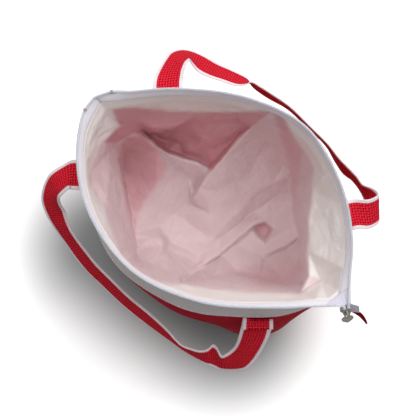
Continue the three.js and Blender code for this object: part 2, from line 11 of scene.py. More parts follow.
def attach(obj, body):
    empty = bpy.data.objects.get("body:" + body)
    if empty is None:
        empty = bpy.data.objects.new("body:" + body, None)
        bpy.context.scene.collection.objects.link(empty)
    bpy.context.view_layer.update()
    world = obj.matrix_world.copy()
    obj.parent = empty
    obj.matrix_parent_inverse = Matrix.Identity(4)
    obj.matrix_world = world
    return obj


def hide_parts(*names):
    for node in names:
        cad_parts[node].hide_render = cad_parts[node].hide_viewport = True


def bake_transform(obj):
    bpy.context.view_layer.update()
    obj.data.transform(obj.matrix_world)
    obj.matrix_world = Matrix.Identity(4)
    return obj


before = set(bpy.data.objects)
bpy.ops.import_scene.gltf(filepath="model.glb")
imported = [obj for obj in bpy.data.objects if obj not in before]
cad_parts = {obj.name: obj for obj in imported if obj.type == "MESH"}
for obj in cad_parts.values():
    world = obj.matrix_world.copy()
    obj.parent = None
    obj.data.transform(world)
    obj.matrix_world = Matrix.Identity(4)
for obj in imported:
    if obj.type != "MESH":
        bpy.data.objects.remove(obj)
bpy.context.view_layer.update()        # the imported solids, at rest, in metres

# A soft cooler bag that stands open on a white floor, seen almost from above.
# Sizes are millimetres in this script, and meshes are written in metres.
# X runs along the bag towards the end of the zip, -Y is the front, and Z is up.
MM = 0.001
FRONT = -1
BACK = 1
SIDE_NAMES = {FRONT: "front", BACK: "back"}

# The bag's own sizes, the same as in the part's source.
BAG_HEIGHT = 305.0
BAND_HEIGHT = 60.0
BAND_SEAM = BAG_HEIGHT - BAND_HEIGHT
BASE_LENGTH = 262.0
BASE_DEPTH = 148.0
BASE_CORNER = 38.0
MOUTH_REACH = {"left": 164.0, "right": 151.0}
MOUTH_DEPTH = {FRONT: 107.0, BACK: 111.0}
BELLY = {FRONT: 23.0, BACK: 14.0}
MOUTH_CURVES = {
    FRONT: [(-1, 0), (-0.93, 0.34), (-0.64, 0.79), (-0.17, 1), (0.3, 0.81), (0.7, 0.39), (0.92, 0.09), (1, 0)],
    BACK: [(-1, 0), (-0.645, 0.53), (-0.29, 0.87), (0.1, 1), (0.53, 0.78), (0.82, 0.42), (0.95, 0.12), (1, 0)],
}
SHELL_THICKNESS = 0.8
FOAM_THICKNESS = 3.0
# How far in from the shell's outer face the foam, the liner and the zip tape lie.
FOAM_PLACE = 1.1
LINER_PLACE = 4.4
TAPE_PLACE = 1.4
TAPE_LOW = 293.0
TAPE_RISE = 8.0
TAPE_LEAN = 3.2
TAPE_CORNER_LEAN = 6.0
TAPE_SHOULDER = 2.2
SHOULDER_AT = 0.035
SHOULDER_SPREAD = 0.02
TAPE_WANDER = 0.4
TAPE_WAVES = 9
TAPE_CURL = 1.3
TAPE_THICKNESS = 0.6
COIL_RADIUS = 1.4
NECK_DROP = 0.9
WELD_REACH = 0.02

# The camera, fitted to the rim and the handles: where it looks, from how far, and its lens.
VIEW_AZIMUTH = 40.0
VIEW_ELEVATION = 83.0
VIEW_DISTANCE = 1164.0
VIEW_FOCAL = 1164.0
FRAME_PIXELS = 420.0
SENSOR = 36.0
VIEW_TARGET = np.array([0.0, 0.0, BAG_HEIGHT])
TARGET_PIXEL = (222.5, 204.5)
TURN, TILT = math.radians(VIEW_AZIMUTH), math.radians(VIEW_ELEVATION)
VIEW_RIGHT = np.array([math.cos(TURN), math.sin(TURN), 0.0])
VIEW_FORWARD = np.array([-math.sin(TURN) * math.cos(TILT), math.cos(TURN) * math.cos(TILT), -math.sin(TILT)])
VIEW_UP = np.cross(VIEW_RIGHT, VIEW_FORWARD)
EYE = VIEW_TARGET - VIEW_FORWARD * VIEW_DISTANCE


def seen_at(points):
    """Where points show in the photograph's frame, in its pixels."""
    ray = np.asarray(points) - EYE
    depth = ray @ VIEW_FORWARD
    across = TARGET_PIXEL[0] + VIEW_FOCAL * (ray @ VIEW_RIGHT) / depth
    down = TARGET_PIXEL[1] - VIEW_FOCAL * (ray @ VIEW_UP) / depth
    return np.stack([across, down], -1)


def placed(pixels, heights):
    """The points that show at places in the photograph and lie at given heights."""
    off = pixels - TARGET_PIXEL
    ray = (off[:, :1] * VIEW_RIGHT - off[:, 1:] * VIEW_UP) / VIEW_FOCAL + VIEW_FORWARD
    return EYE + ray * ((heights - EYE[2]) / ray[:, 2])[:, None]


def put(name, data, away=None):
    """An object with that name and data, in the scene. A camera or lamp looks against a direction."""
    made = bpy.data.objects.new(name, data)
    bpy.context.collection.objects.link(made)
    if away is not None:
        made.rotation_mode = "QUATERNION"
        made.rotation_quaternion = Vector(away).to_track_quat("Z", "Y")
    return made


def belongs(piece, slot, *nodes):
    """Says that a piece rides on the bag's body and which nodes it stands for. Its slot is not used."""
    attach(piece, "body")
    if nodes:
        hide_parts(*nodes)


def make_camera():
    lens = bpy.data.cameras.new("camera")
    lens.sensor_width = SENSOR
    lens.lens = VIEW_FOCAL / FRAME_PIXELS * SENSOR
    lens.shift_x = (FRAME_PIXELS / 2 - TARGET_PIXEL[0]) / FRAME_PIXELS
    lens.shift_y = (TARGET_PIXEL[1] - FRAME_PIXELS / 2) / FRAME_PIXELS
    lens.clip_start = 0.05
    lens.clip_end = 50
    camera = put("camera", lens, -VIEW_FORWARD)
    camera.location = Vector(EYE) * MM
    bpy.context.scene.camera = camera


# Node trees and materials.

def linear(code):
    """An sRGB hex colour as linear red, green, blue and alpha."""
    parts = [int(code[i:i + 2], 16) / 255 for i in (0, 2, 4)]
    return tuple(c / 12.92 if c <= 0.04045 else ((c + 0.055) / 1.055) ** 2.4 for c in parts) + (1.0,)


def add(tree, kind, inputs=None, **settings):
    """Adds a node with its settings, and sets or links its inputs by name or number. A node given as an
    input links its output in use, and (operation, value, value) a math node that works it out."""
    made = tree.nodes.new(kind)
    for name, value in settings.items():
        setattr(made, name, value)
    for name, value in (inputs or {}).items():
        if isinstance(value, tuple) and isinstance(value[0], str):
            value = add(tree, "ShaderNodeMath", dict(enumerate(value[1:])), operation=value[0])
        if isinstance(value, bpy.types.Node):
            value = next(socket for socket in value.outputs if socket.enabled)
        if isinstance(value, bpy.types.NodeSocket):
            tree.links.new(value, made.inputs[name])
        else:
            made.inputs[name].default_value = value
    return made


def new_material(name, build, *choices):
    """A material. Build makes its tree and gives its surface: a shader, or the inputs of the usual one."""
    material = bpy.data.materials.new(name)
    material.use_nodes = True
    tree = material.node_tree
    tree.nodes.clear()
    surface = build(tree, *choices)
    if isinstance(surface, dict):
        surface = add(tree, "ShaderNodeBsdfPrincipled", surface)
    add(tree, "ShaderNodeOutputMaterial", {"Surface": surface})
    return material


def thread_axes(tree):
    """The two directions along the cloth, in millimetres, from the piece's own map."""
    split = add(tree, "ShaderNodeSeparateXYZ", {0: add(tree, "ShaderNodeUVMap", uv_map="cloth")})
    return split.outputs[0], split.outputs[1]


def thread_backs(turns):
    """Height of the round backs of threads, one for each turn."""
    return "ABSOLUTE", ("SINE", ("MULTIPLY", turns, math.pi))


def plain_weave(tree, across, along, pitch_across, pitch_along):
    """Height of a plain weave: threads that pass over and under each other in turn."""
    first = "DIVIDE", across, pitch_across
    second = "DIVIDE", along, pitch_along
    over = "PINGPONG", ("ADD", ("FLOOR", first), ("FLOOR", second)), 1.0
    return add(tree, "ShaderNodeMix", {0: over, 2: thread_backs(first), 3: thread_backs(second)})


def shaded_valleys(height, depth):
    """How much darker the cloth is painted between its threads: painted shade in the hollows of the weave."""
    return "MULTIPLY", ("SUBTRACT", 1.0, height), depth


def tinted(tree, colour, other, amount):
    """A colour that runs to another one where amount is high. Each is a hex colour or made by a node."""
    colour, other = (linear(c) if isinstance(c, str) else c for c in (colour, other))
    return add(tree, "ShaderNodeMix", {"Factor": amount, 6: colour, 7: other}, data_type="RGBA")


def patches(tree, size, detail=2.0, roughness=0.55, distortion=0.0):
    """Soft patches about that many millimetres across, from the piece's place."""
    place = add(tree, "ShaderNodeTexCoord").outputs["Object"]
    return add(tree, "ShaderNodeTexNoise", {"Vector": place, "Scale": 1 / (size * MM), "Detail": detail,
                                            "Roughness": roughness, "Distortion": distortion})


def cells(tree, size, randomness=1.0):
    """Round cells about that many millimetres across, from the piece's place."""
    place = add(tree, "ShaderNodeTexCoord").outputs["Object"]
    return add(tree, "ShaderNodeTexVoronoi", {
        "Vector": place, "Scale": 1 / (size * MM), "Randomness": randomness})


def woven_polyester(tree, colour, darker):
    """Coated 600-denier polyester. Its threads are 0.5 mm apart, drawn at 1.1 mm so that they show. The weave
    scatters light, so the cloth is matt and keeps its colour at grazing angles. Slack folds run across it."""
    weave = plain_weave(tree, *thread_axes(tree), 1.1, 1.1)
    # The hollows between threads get painted shade, over soft patches of tone.
    amount = "ADD", shaded_valleys(weave, 0.45), ("MULTIPLY", patches(tree, 45), 0.5)
    slack = add(tree, "ShaderNodeBump", {
        "Strength": 0.5, "Distance": 0.009, "Height": patches(tree, 70, 2.5, 0.45, 0.9)})
    bump = add(tree, "ShaderNodeBump", {"Strength": 0.35, "Distance": 0.0002, "Height": weave, "Normal": slack})
    return {"Base Color": tinted(tree, colour, darker, amount), "Roughness": 0.85, "Specular IOR Level": 0.05,
            "IOR": 1.48, "Normal": bump}


WEB_WIDTH = 32.0
WEB_THICKNESS = 1.5
WEB_BORDER = 3.9
WEB_CORD = 3.0
WEB_WEFT = 2.8


def ribbed_webbing(tree):
    """Heavy polypropylene webbing, woven: cords 3.0 mm apart run along it, weft bars cross them each 2.8 mm,
    and a smoother pale border is woven along each edge. It is matt, and its ribs shade it finely."""
    across, along = thread_axes(tree)
    weave = plain_weave(tree, across, along, WEB_CORD, WEB_WEFT)
    inside = WEB_WIDTH / 2 - WEB_BORDER
    border = add(tree, "ShaderNodeMapRange", {
        "Value": ("ABSOLUTE", across), "From Min": inside - 0.2, "From Max": inside + 0.2})
    # The red is painted darker between the cords and bars: painted shade in the weave's hollows.
    red = tinted(tree, "FF2A40", "68040C", shaded_valleys(weave, 1.1))
    pale = tinted(tree, "F1E4E8", "DDCBD1", patches(tree, 3))
    bump = add(tree, "ShaderNodeBump", {
        "Strength": 1.0, "Distance": 0.001, "Height": ("MAXIMUM", weave, border)})
    return {"Base Color": tinted(tree, red, pale, border), "Roughness": 0.85, "Specular IOR Level": 0.08,
            "IOR": 1.49, "Normal": bump}


def milky_film(tree):
    """Thin milky PEVA film, calendered: smooth with a soft shine, finely crinkled.
    Where the red shell lies close behind it, it shows through as a deep pink, which pales to a greyish pink
    where the film hangs clear of it. That deep pink is also laid over the recess, the hollow and the creases'
    shaded sides as painted shade. Above the band's seam the white band shows through."""
    zone, near = (add(tree, "ShaderNodeAttribute", attribute_name=name).outputs["Fac"]
                  for name in ("band_behind", "shell_near"))
    clear = tinted(tree, "EAD8D9", "DECACC", patches(tree, 50, 4.0))
    # The deep pink: the shell showing through, and painted shade where the zones lie over the recess, the
    # hollow and the creases.
    close = tinted(tree, "D7979E", "CB858E", patches(tree, 50, 4.0))
    white = tinted(tree, "F5F0EC", "EBE4E0", patches(tree, 60, 3.0))
    height = "ADD", patches(tree, 12, 5.0, 0.6, 0.6), ("MULTIPLY", patches(tree, 2.5, 2.0, 0.5), 0.12)
    bump = add(tree, "ShaderNodeBump", {"Strength": 0.55, "Distance": 0.003, "Height": height})
    return {"Base Color": tinted(tree, tinted(tree, clear, close, near), white, zone), "Roughness": 0.42,
            "IOR": 1.45, "Normal": bump}


def foam_sheet(tree):
    """Closed-cell polyethylene foam, cut from sheet: dull white with cells about a millimetre across."""
    bump = add(tree, "ShaderNodeBump", {"Strength": 0.3, "Distance": 0.0003, "Height": cells(tree, 1.2)})
    return {"Base Color": tinted(tree, "F4F4F2", "DDDDDA", patches(tree, 4)), "Roughness": 0.9, "Normal": bump}


def twill_tape(tree, colour, darker):
    """Woven polyester zip tape: a fine twill whose diagonal ribs, 1.8 mm apart, show as hatching."""
    rib = thread_backs(("DIVIDE", ("ADD", *thread_axes(tree)), 1.8))
    bump = add(tree, "ShaderNodeBump", {"Strength": 0.5, "Distance": 0.0003, "Height": rib})
    # The hatching is painted darker between the ribs: painted shade.
    return {"Base Color": tinted(tree, colour, darker, shaded_valleys(rib, 0.8)), "Roughness": 0.6, "IOR": 1.48,
            "Normal": bump}


def coil_filament(tree):
    """Wound polyester monofilament, extruded smooth, so each loop has its own small highlight."""
    return {"Base Color": tinted(tree, "F0F1F7", "D9DBE5", patches(tree, 3)), "Roughness": 0.28, "IOR": 1.57}


def nickel_casting(tree, pressed=0.0):
    """Nickel-plated zinc, die cast and tumbled: dull grey metal whose edges are rubbed smooth. The pull has
    a pattern of small cells pressed into it, that many millimetres apart."""
    rough = patches(tree, 0.8, 3.0, 0.5)
    height, strength = rough, 0.25
    if pressed:
        height, strength = ("ADD", ("MULTIPLY", rough, 0.3), cells(tree, pressed, 0.0)), 0.8
    bump = add(tree, "ShaderNodeBump", {"Strength": strength, "Distance": 0.0002, "Height": height})
    shine = add(tree, "ShaderNodeMapRange", {"Value": rough, "To Min": 0.24, "To Max": 0.42})
    return {"Base Color": tinted(tree, "A9A49E", "8A8580", rough), "Metallic": 1.0, "Roughness": shine,
            "Normal": bump}


def sewing_thread(tree, colour, darker):
    """Twisted polyester thread, 0.5 mm thick, with a slight silk shine."""
    return {"Base Color": tinted(tree, colour, darker, patches(tree, 1.5)), "Roughness": 0.5,
            "Sheen Weight": 0.2}


# Where the bag's shadow lies deepest on the floor, in millimetres: along the foot of the front wall.
# The paint runs from dark to open between two distances from there.
SHADE_ENDS = (-112.0, -104.0), (88.0, -80.0)
SHADE_REACH = 16.0, 138.0
# The floor's linear colours: what the camera sees in deepest shade and in the open, and what lights the bag.
FLOOR_SHADE = (0.3, 0.32, 0.32, 1.0)
FLOOR_OPEN = (1.3, 1.31, 1.31, 1.0)
FLOOR_GREY = (0.5, 0.5, 0.5, 1.0)


def floor_paint(tree):
    """White studio floor. For the camera it is brighter than white paint, so that it clips to white in
    the open, and it is painted darker along the front of the bag, where the shadow is deepest."""
    place = add(tree, "ShaderNodeTexCoord").outputs["Object"]
    start, end = (Vector((x, y, 0)) * MM for x, y in SHADE_ENDS)
    run = end - start
    from_start = add(tree, "ShaderNodeVectorMath", {0: place, 1: start}, operation="SUBTRACT")
    along = add(tree, "ShaderNodeVectorMath", {0: from_start, 1: run / run.length_squared},
                operation="DOT_PRODUCT")
    share = add(tree, "ShaderNodeClamp", {0: along})
    foot = add(tree, "ShaderNodeVectorMath", {0: run, "Scale": share}, operation="SCALE")
    off = add(tree, "ShaderNodeVectorMath", {0: from_start, 1: foot}, operation="DISTANCE")
    open_share = add(tree, "ShaderNodeMapRange", {
        "Value": off, "From Min": SHADE_REACH[0] * MM, "From Max": SHADE_REACH[1] * MM},
        interpolation_type="SMOOTHSTEP")
    paint = tinted(tree, FLOOR_SHADE, FLOOR_OPEN, open_share)
    surface = add(tree, "ShaderNodeBsdfDiffuse", {"Color": FLOOR_GREY})
    seen = add(tree, "ShaderNodeBsdfDiffuse", {"Color": paint})
    ray = add(tree, "ShaderNodeLightPath").outputs["Is Camera Ray"]
    return add(tree, "ShaderNodeMixShader", {0: ray, 1: surface, 2: seen})


RED_CLOTH = new_material("red 600-denier polyester", woven_polyester, "BA152A", "8A0C1C")
TAB_CLOTH = new_material("dark red polyester tab", woven_polyester, "7E0E1C", "550812")
WHITE_CLOTH = new_material("white 600-denier polyester", woven_polyester, "E4DFDE", "C4BDBC")
WEBBING = new_material("ribbed polypropylene webbing", ribbed_webbing)
FILM = new_material("milky PEVA liner film", milky_film)
FOAM = new_material("closed-cell foam sheet", foam_sheet)
TAPE = new_material("polyester twill tape", twill_tape, "F6F4F9", "C2BECC")
# The tail's tape is the rim's tape, coloured darker as painted shade.
SHADED_TAIL_TAPE = new_material("polyester twill tape with painted shade", twill_tape, "DFDBE8", "A19DB0")
COIL = new_material("polyester monofilament coil", coil_filament)
NICKEL = new_material("nickel-plated zinc casting", nickel_casting)
NICKEL_PULL = new_material("nickel-plated zinc with a pressed mesh pattern", nickel_casting, 1.1)
WHITE_THREAD = new_material("white polyester thread", sewing_thread, "F2F0F2", "D5D0D6")
RED_THREAD = new_material("red polyester thread", sewing_thread, "B8162A", "860D1B")


# Lines, grids and meshes.

def run_lengths(points):
    """How far along a line each of its points lies."""
    return np.concatenate([[0.0], np.cumsum(np.linalg.norm(np.diff(points, axis=0), axis=1))])


def at_places(points, places, wanted):
    """The rows of numbers that lie at wanted places, between rows whose places are known."""
    return np.stack([np.interp(wanted, places, column) for column in points.T], -1)


def resample(points, count, measured=None):
    """Evenly spaced rows along a line of rows, by the distance over the first few numbers of each."""
    places = run_lengths(points[:, :measured])
    return at_places(points, places, np.linspace(0, places[-1], count))


def smooth_line(points, per_step=16):
    """A smooth line through points, which keeps tight where the points lie close together."""
    knots = [np.asarray(p, float) for p in points]
    knots = [2 * knots[0] - knots[1]] + knots + [2 * knots[-1] - knots[-2]]
    line = []
    for a, b, c, d in zip(knots, knots[1:], knots[2:], knots[3:]):
        before, here, after = [max(np.linalg.norm(q - p) ** 0.5, 1e-6) for p, q in ((a, b), (b, c), (c, d))]
        start = ((b - a) / before - (c - a) / (before + here) + (c - b) / here) * here
        end = ((c - b) / here - (d - b) / (here + after) + (d - c) / after) * here
        for t in np.linspace(0, 1, per_step, endpoint=False):
            line.append((2 * t**3 - 3 * t**2 + 1) * b + (t**3 - 2 * t**2 + t) * start
                        + (3 * t**2 - 2 * t**3) * c + (t**3 - t**2) * end)
    line.append(knots[-2])
    return np.array(line)


def bent(start, pull, end, share):
    """Points on the curve that sets out from start towards pull and ends at end."""
    return start * (1 - share) ** 2 + pull * 2 * share * (1 - share) + end * share**2


def smoothstep(low, high, value):
    t = np.clip((np.asarray(value, float) - low) / (high - low), 0, 1)
    return t * t * (3 - 2 * t)


def unit(vectors):
    vectors = np.asarray(vectors, float)
    return vectors / np.linalg.norm(vectors, axis=-1, keepdims=True)


def finish_piece(name, points, faces, material, cloth=None):
    """A mesh object from points in millimetres, with the cloth's own map where it has one."""
    mesh = bpy.data.meshes.new(name)
    mesh.from_pydata((np.asarray(points) * MM).tolist(), [], faces)
    if cloth is not None:
        layer = mesh.uv_layers.new(name="cloth")
        corners = np.empty(len(mesh.loops), np.int32)
        mesh.loops.foreach_get("vertex_index", corners)
        layer.data.foreach_set("uv", np.asarray(cloth, np.float32)[corners].ravel())
    mesh.polygons.foreach_set("use_smooth", [True] * len(mesh.polygons))
    mesh.materials.append(material)
    mesh.validate()
    return put(name, mesh)


def face_outwards(piece):
    """Turns the faces of a closed piece outwards."""
    work = bmesh.new()
    work.from_mesh(piece.data)
    bmesh.ops.recalc_face_normals(work, faces=work.faces)
    work.to_mesh(piece.data)
    work.free()
    return piece


def grid_faces(rows, cols, start=0, closed=False, flipped=False):
    faces = []
    for r in range(rows - 1):
        for c in range(cols if closed else cols - 1):
            next_c = (c + 1) % cols
            quad = [r * cols + c, r * cols + next_c, (r + 1) * cols + next_c, (r + 1) * cols + c]
            faces.append([start + i for i in (reversed(quad) if flipped else quad)])
    return faces


def cloth_map(rows):
    """The distance along each row from its middle and the height, in millimetres."""
    along = np.array([run_lengths(row[:, :2]) for row in rows])
    along -= along[:, -1:] / 2
    rise = np.linalg.norm(np.diff(rows, axis=0), axis=-1).mean(axis=1)
    up = np.concatenate([[0.0], np.cumsum(rise)])
    return np.stack([along, np.broadcast_to(up[:, None], along.shape)], -1)


def sheet_between(name, outer, inner, material, cloth=None):
    """A closed sheet between two grids of points with as many rows and columns."""
    rows, cols = outer.shape[:2]
    count = rows * cols
    faces = grid_faces(rows, cols) + grid_faces(rows, cols, count, flipped=True)
    edge = [(0, c) for c in range(cols)] + [(r, cols - 1) for r in range(1, rows)]
    edge += [(rows - 1, c) for c in range(cols - 2, -1, -1)] + [(r, 0) for r in range(rows - 2, 0, -1)]
    loop = [r * cols + c for r, c in edge]
    for a, b in zip(loop, loop[1:] + loop[:1]):
        faces.append([b, a, a + count, b + count])
    points = np.concatenate([outer.reshape(-1, 3), inner.reshape(-1, 3)])
    cloth = cloth_map(outer) if cloth is None else cloth
    maps = np.concatenate([cloth.reshape(-1, 2)] * 2)
    return face_outwards(finish_piece(name, points, faces, material, maps))


def closed_tube(name, rings, material, cloth):
    """A closed piece through rings of points, with a flat face over its first and its last ring."""
    rows, cols = rings.shape[:2]
    faces = grid_faces(rows, cols, closed=True)
    faces += [list(range(cols)), list(range((rows - 1) * cols, rows * cols))]
    return face_outwards(finish_piece(name, rings.reshape(-1, 3), faces, material, cloth.reshape(-1, 2)))


# The wall: one surface that shell, foam, tape, webbing and stitches all follow.

COLUMNS = 144
ROUND = np.linspace(0, 1, COLUMNS + 1)
# Over one of so many parts of a half outline beside each side seam, outwards turns to lie along the bag.
SEAM_PARTS = 24
SEAM_SHARE = np.clip(ROUND * SEAM_PARTS, 0, 1) * np.clip((1 - ROUND) * SEAM_PARTS, 0, 1)


def base_half(side):
    x = BASE_LENGTH / 2
    y = BASE_DEPTH / 2 - BASE_CORNER
    turn = np.linspace(0, math.pi / 2, 17)
    left = [(BASE_CORNER - x - BASE_CORNER * math.cos(t), y + BASE_CORNER * math.sin(t)) for t in turn]
    right = [(-px, py) for px, py in reversed(left)]
    outline = np.array([(-x, 0)] + left + right + [(x, 0)])
    outline[:, 1] *= side
    return resample(outline, COLUMNS + 1)


def mouth_half(side):
    points = [(x * MOUTH_REACH["left" if x < 0 else "right"], side * y * MOUTH_DEPTH[side])
              for x, y in MOUTH_CURVES[side]]
    return resample(smooth_line(points), COLUMNS + 1)


BASE_LINES = {side: base_half(side) for side in SIDE_NAMES}
MOUTH_LINES = {side: mouth_half(side) for side in SIDE_NAMES}

# Where the slack cloth buckles: the size of each wave, its turns along and up the wall, and its phase.
BUCKLES = [(1.7, 1.6, 0.45, 1), (1.1, 4.3, -0.8, 2), (1.0, 0.7, 2.2, 3)]
BUCKLE_PHASE = {FRONT: 0.6, BACK: 2.1}
# Between which heights the buckles fade in above the base, and out again below the rim.
BUCKLE_IN = 0, 30
BUCKLE_OUT = 255, 300


def buckle(side, share, height):
    """How far the wall stands out where the slack cloth buckles."""
    up = height / BAG_HEIGHT
    shown = smoothstep(*BUCKLE_IN, height) * (1 - smoothstep(*BUCKLE_OUT, height))
    waves = sum(size * np.sin(2 * math.pi * (along * share + rise * up) + turn * BUCKLE_PHASE[side])
                for size, along, rise, turn in BUCKLES)
    return waves * shown * np.sin(math.pi * share) ** 0.5


def outward_of(line, side):
    """The outward directions along a half outline. At the two side seams they lie along the bag."""
    along = unit(np.gradient(line, axis=-2))
    away = np.stack([-side * along[..., 1], side * along[..., 0]], -1)
    ends = np.stack([np.where(ROUND < 0.5, -1.0, 1.0), np.zeros(len(ROUND))], -1)
    return away * SEAM_SHARE[:, None] + ends * (1 - SEAM_SHARE[:, None])


def wall_rows(side, heights, inwards=0.0):
    """Rows of points on one half of the wall, from the left side seam to the right one."""
    heights = np.asarray(heights, float)[:, None]
    share = np.minimum(heights, BAG_HEIGHT) / BAG_HEIGHT
    line = BASE_LINES[side] * (1 - share[..., None]) + MOUTH_LINES[side] * share[..., None]
    bulge = BELLY[side] * np.sin(math.pi * share) * np.sin(math.pi * ROUND) + buckle(side, ROUND, heights)
    line = line + outward_of(line, side) * bulge[..., None]
    line = line - outward_of(line, side) * np.broadcast_to(inwards, bulge.shape)[..., None]
    up = np.broadcast_to(heights, bulge.shape)
    return np.concatenate([line, up[..., None]], -1)


def wall_ring(height, inwards):
    """A whole ring of points round the wall, its front half first."""
    front, back = (wall_rows(side, [height], inwards)[0] for side in SIDE_NAMES)
    return np.concatenate([front, back[-2:0:-1]])


def middle_line(ring):
    """The places along the bag's middle line that a ring's points draw in to."""
    spine = ring.copy()
    reach = (BASE_LENGTH - BASE_DEPTH) / 2
    spine[:, 0] = np.clip(spine[:, 0], -reach, reach)
    spine[:, 1] = 0
    return spine


def wall_spot(side, height, share, out=0.0):
    """A point on the wall with its directions along and away from it."""
    row = wall_rows(side, [height])[0]
    point = at_places(row, np.arange(COLUMNS + 1), share * COLUMNS)
    away = at_places(outward_of(row[:, :2], side), np.arange(COLUMNS + 1), share * COLUMNS)
    away = unit([*away, 0.0])
    along = np.cross(away, [0, 0, 1]) * side
    return point + away * out, along, away


# The wall's layers: name, lowest and highest row and how many, how far in, thickness, material, slot, node.
LAYERS = [
    ("red_panel", (1.1, BAND_SEAM + 3, 84), 0.0, SHELL_THICKNESS, RED_CLOTH, "shell_red", "panel"),
    ("white_band", (BAND_SEAM, BAG_HEIGHT, 26), -0.25, SHELL_THICKNESS, WHITE_CLOTH, "band_white", "band"),
    ("foam", (6, 288, 60), FOAM_PLACE, FOAM_THICKNESS - 0.6, FOAM, "foam_white", "insulation"),
]


def make_walls():
    for side, word in SIDE_NAMES.items():
        for name, heights, place, thickness, material, slot, node in LAYERS:
            faces = [wall_rows(side, np.linspace(*heights), inwards) for inwards in (place, place + thickness)]
            belongs(sheet_between(f"{name}_{word}", *faces, material), slot, f"{node}_{word}")


def flat_base(name, inwards, low, thickness, material):
    """A closed plate with the base's outline, drawn in to its middle line."""
    outline = wall_ring(0.0, inwards)
    outline[:, 2] = low
    drawn = middle_line(outline) - outline
    rings = np.array([outline + drawn * share for share in np.linspace(0, 1, 14)[:-1]])
    stack = np.concatenate([(rings + [0, 0, thickness])[::-1], rings])
    return closed_tube(name, stack, material, stack[..., :2])


def make_base():
    red = flat_base("red_base", 0.0, 0.0, SHELL_THICKNESS, RED_CLOTH)
    belongs(red, "shell_red", "base_panel")
    foam = flat_base("foam_base", 1.6, FOAM_PLACE, FOAM_THICKNESS - 0.4, FOAM)
    belongs(foam, "foam_white", "insulation_base")


# The liner: a loose film sack sewn in under the zip tape.
# Where its folds lie is set as the photograph shows them: place across and down in its pixels, and height above
# the floor in millimetres, chosen one by one.

FILM_THICKNESS = 0.5
FILM_TOP = 303.0
FILM_FLOOR = 5.2
# How far in from the shell's outer face it hangs, and how far in its top edge is sewn.
FILM_PLACE = LINER_PLACE + 1
FILM_SEWN_PLACE = 2.0
FILM_SEWN_FROM = 288
FILM_FILLET = 30.0
FILM_GRID = 1.15

# Where the band's lower seam shows through the film.
BAND_EDGE = [(112, 109), (120, 107.5), (136, 107), (166, 110), (198, 111), (236, 112), (272, 110), (284, 116),
    (294, 136), (308, 154), (314, 170), (312, 192), (309, 220), (308, 250), (309, 276), (322, 280),
    (300, 294), (250, 292), (210, 289), (182, 284), (156, 282), (136, 272), (124, 262), (117, 246),
    (104, 208), (90, 184), (90, 172), (102, 142), (118, 125.5)]
BAND_EDGE_HEIGHT = 245.0

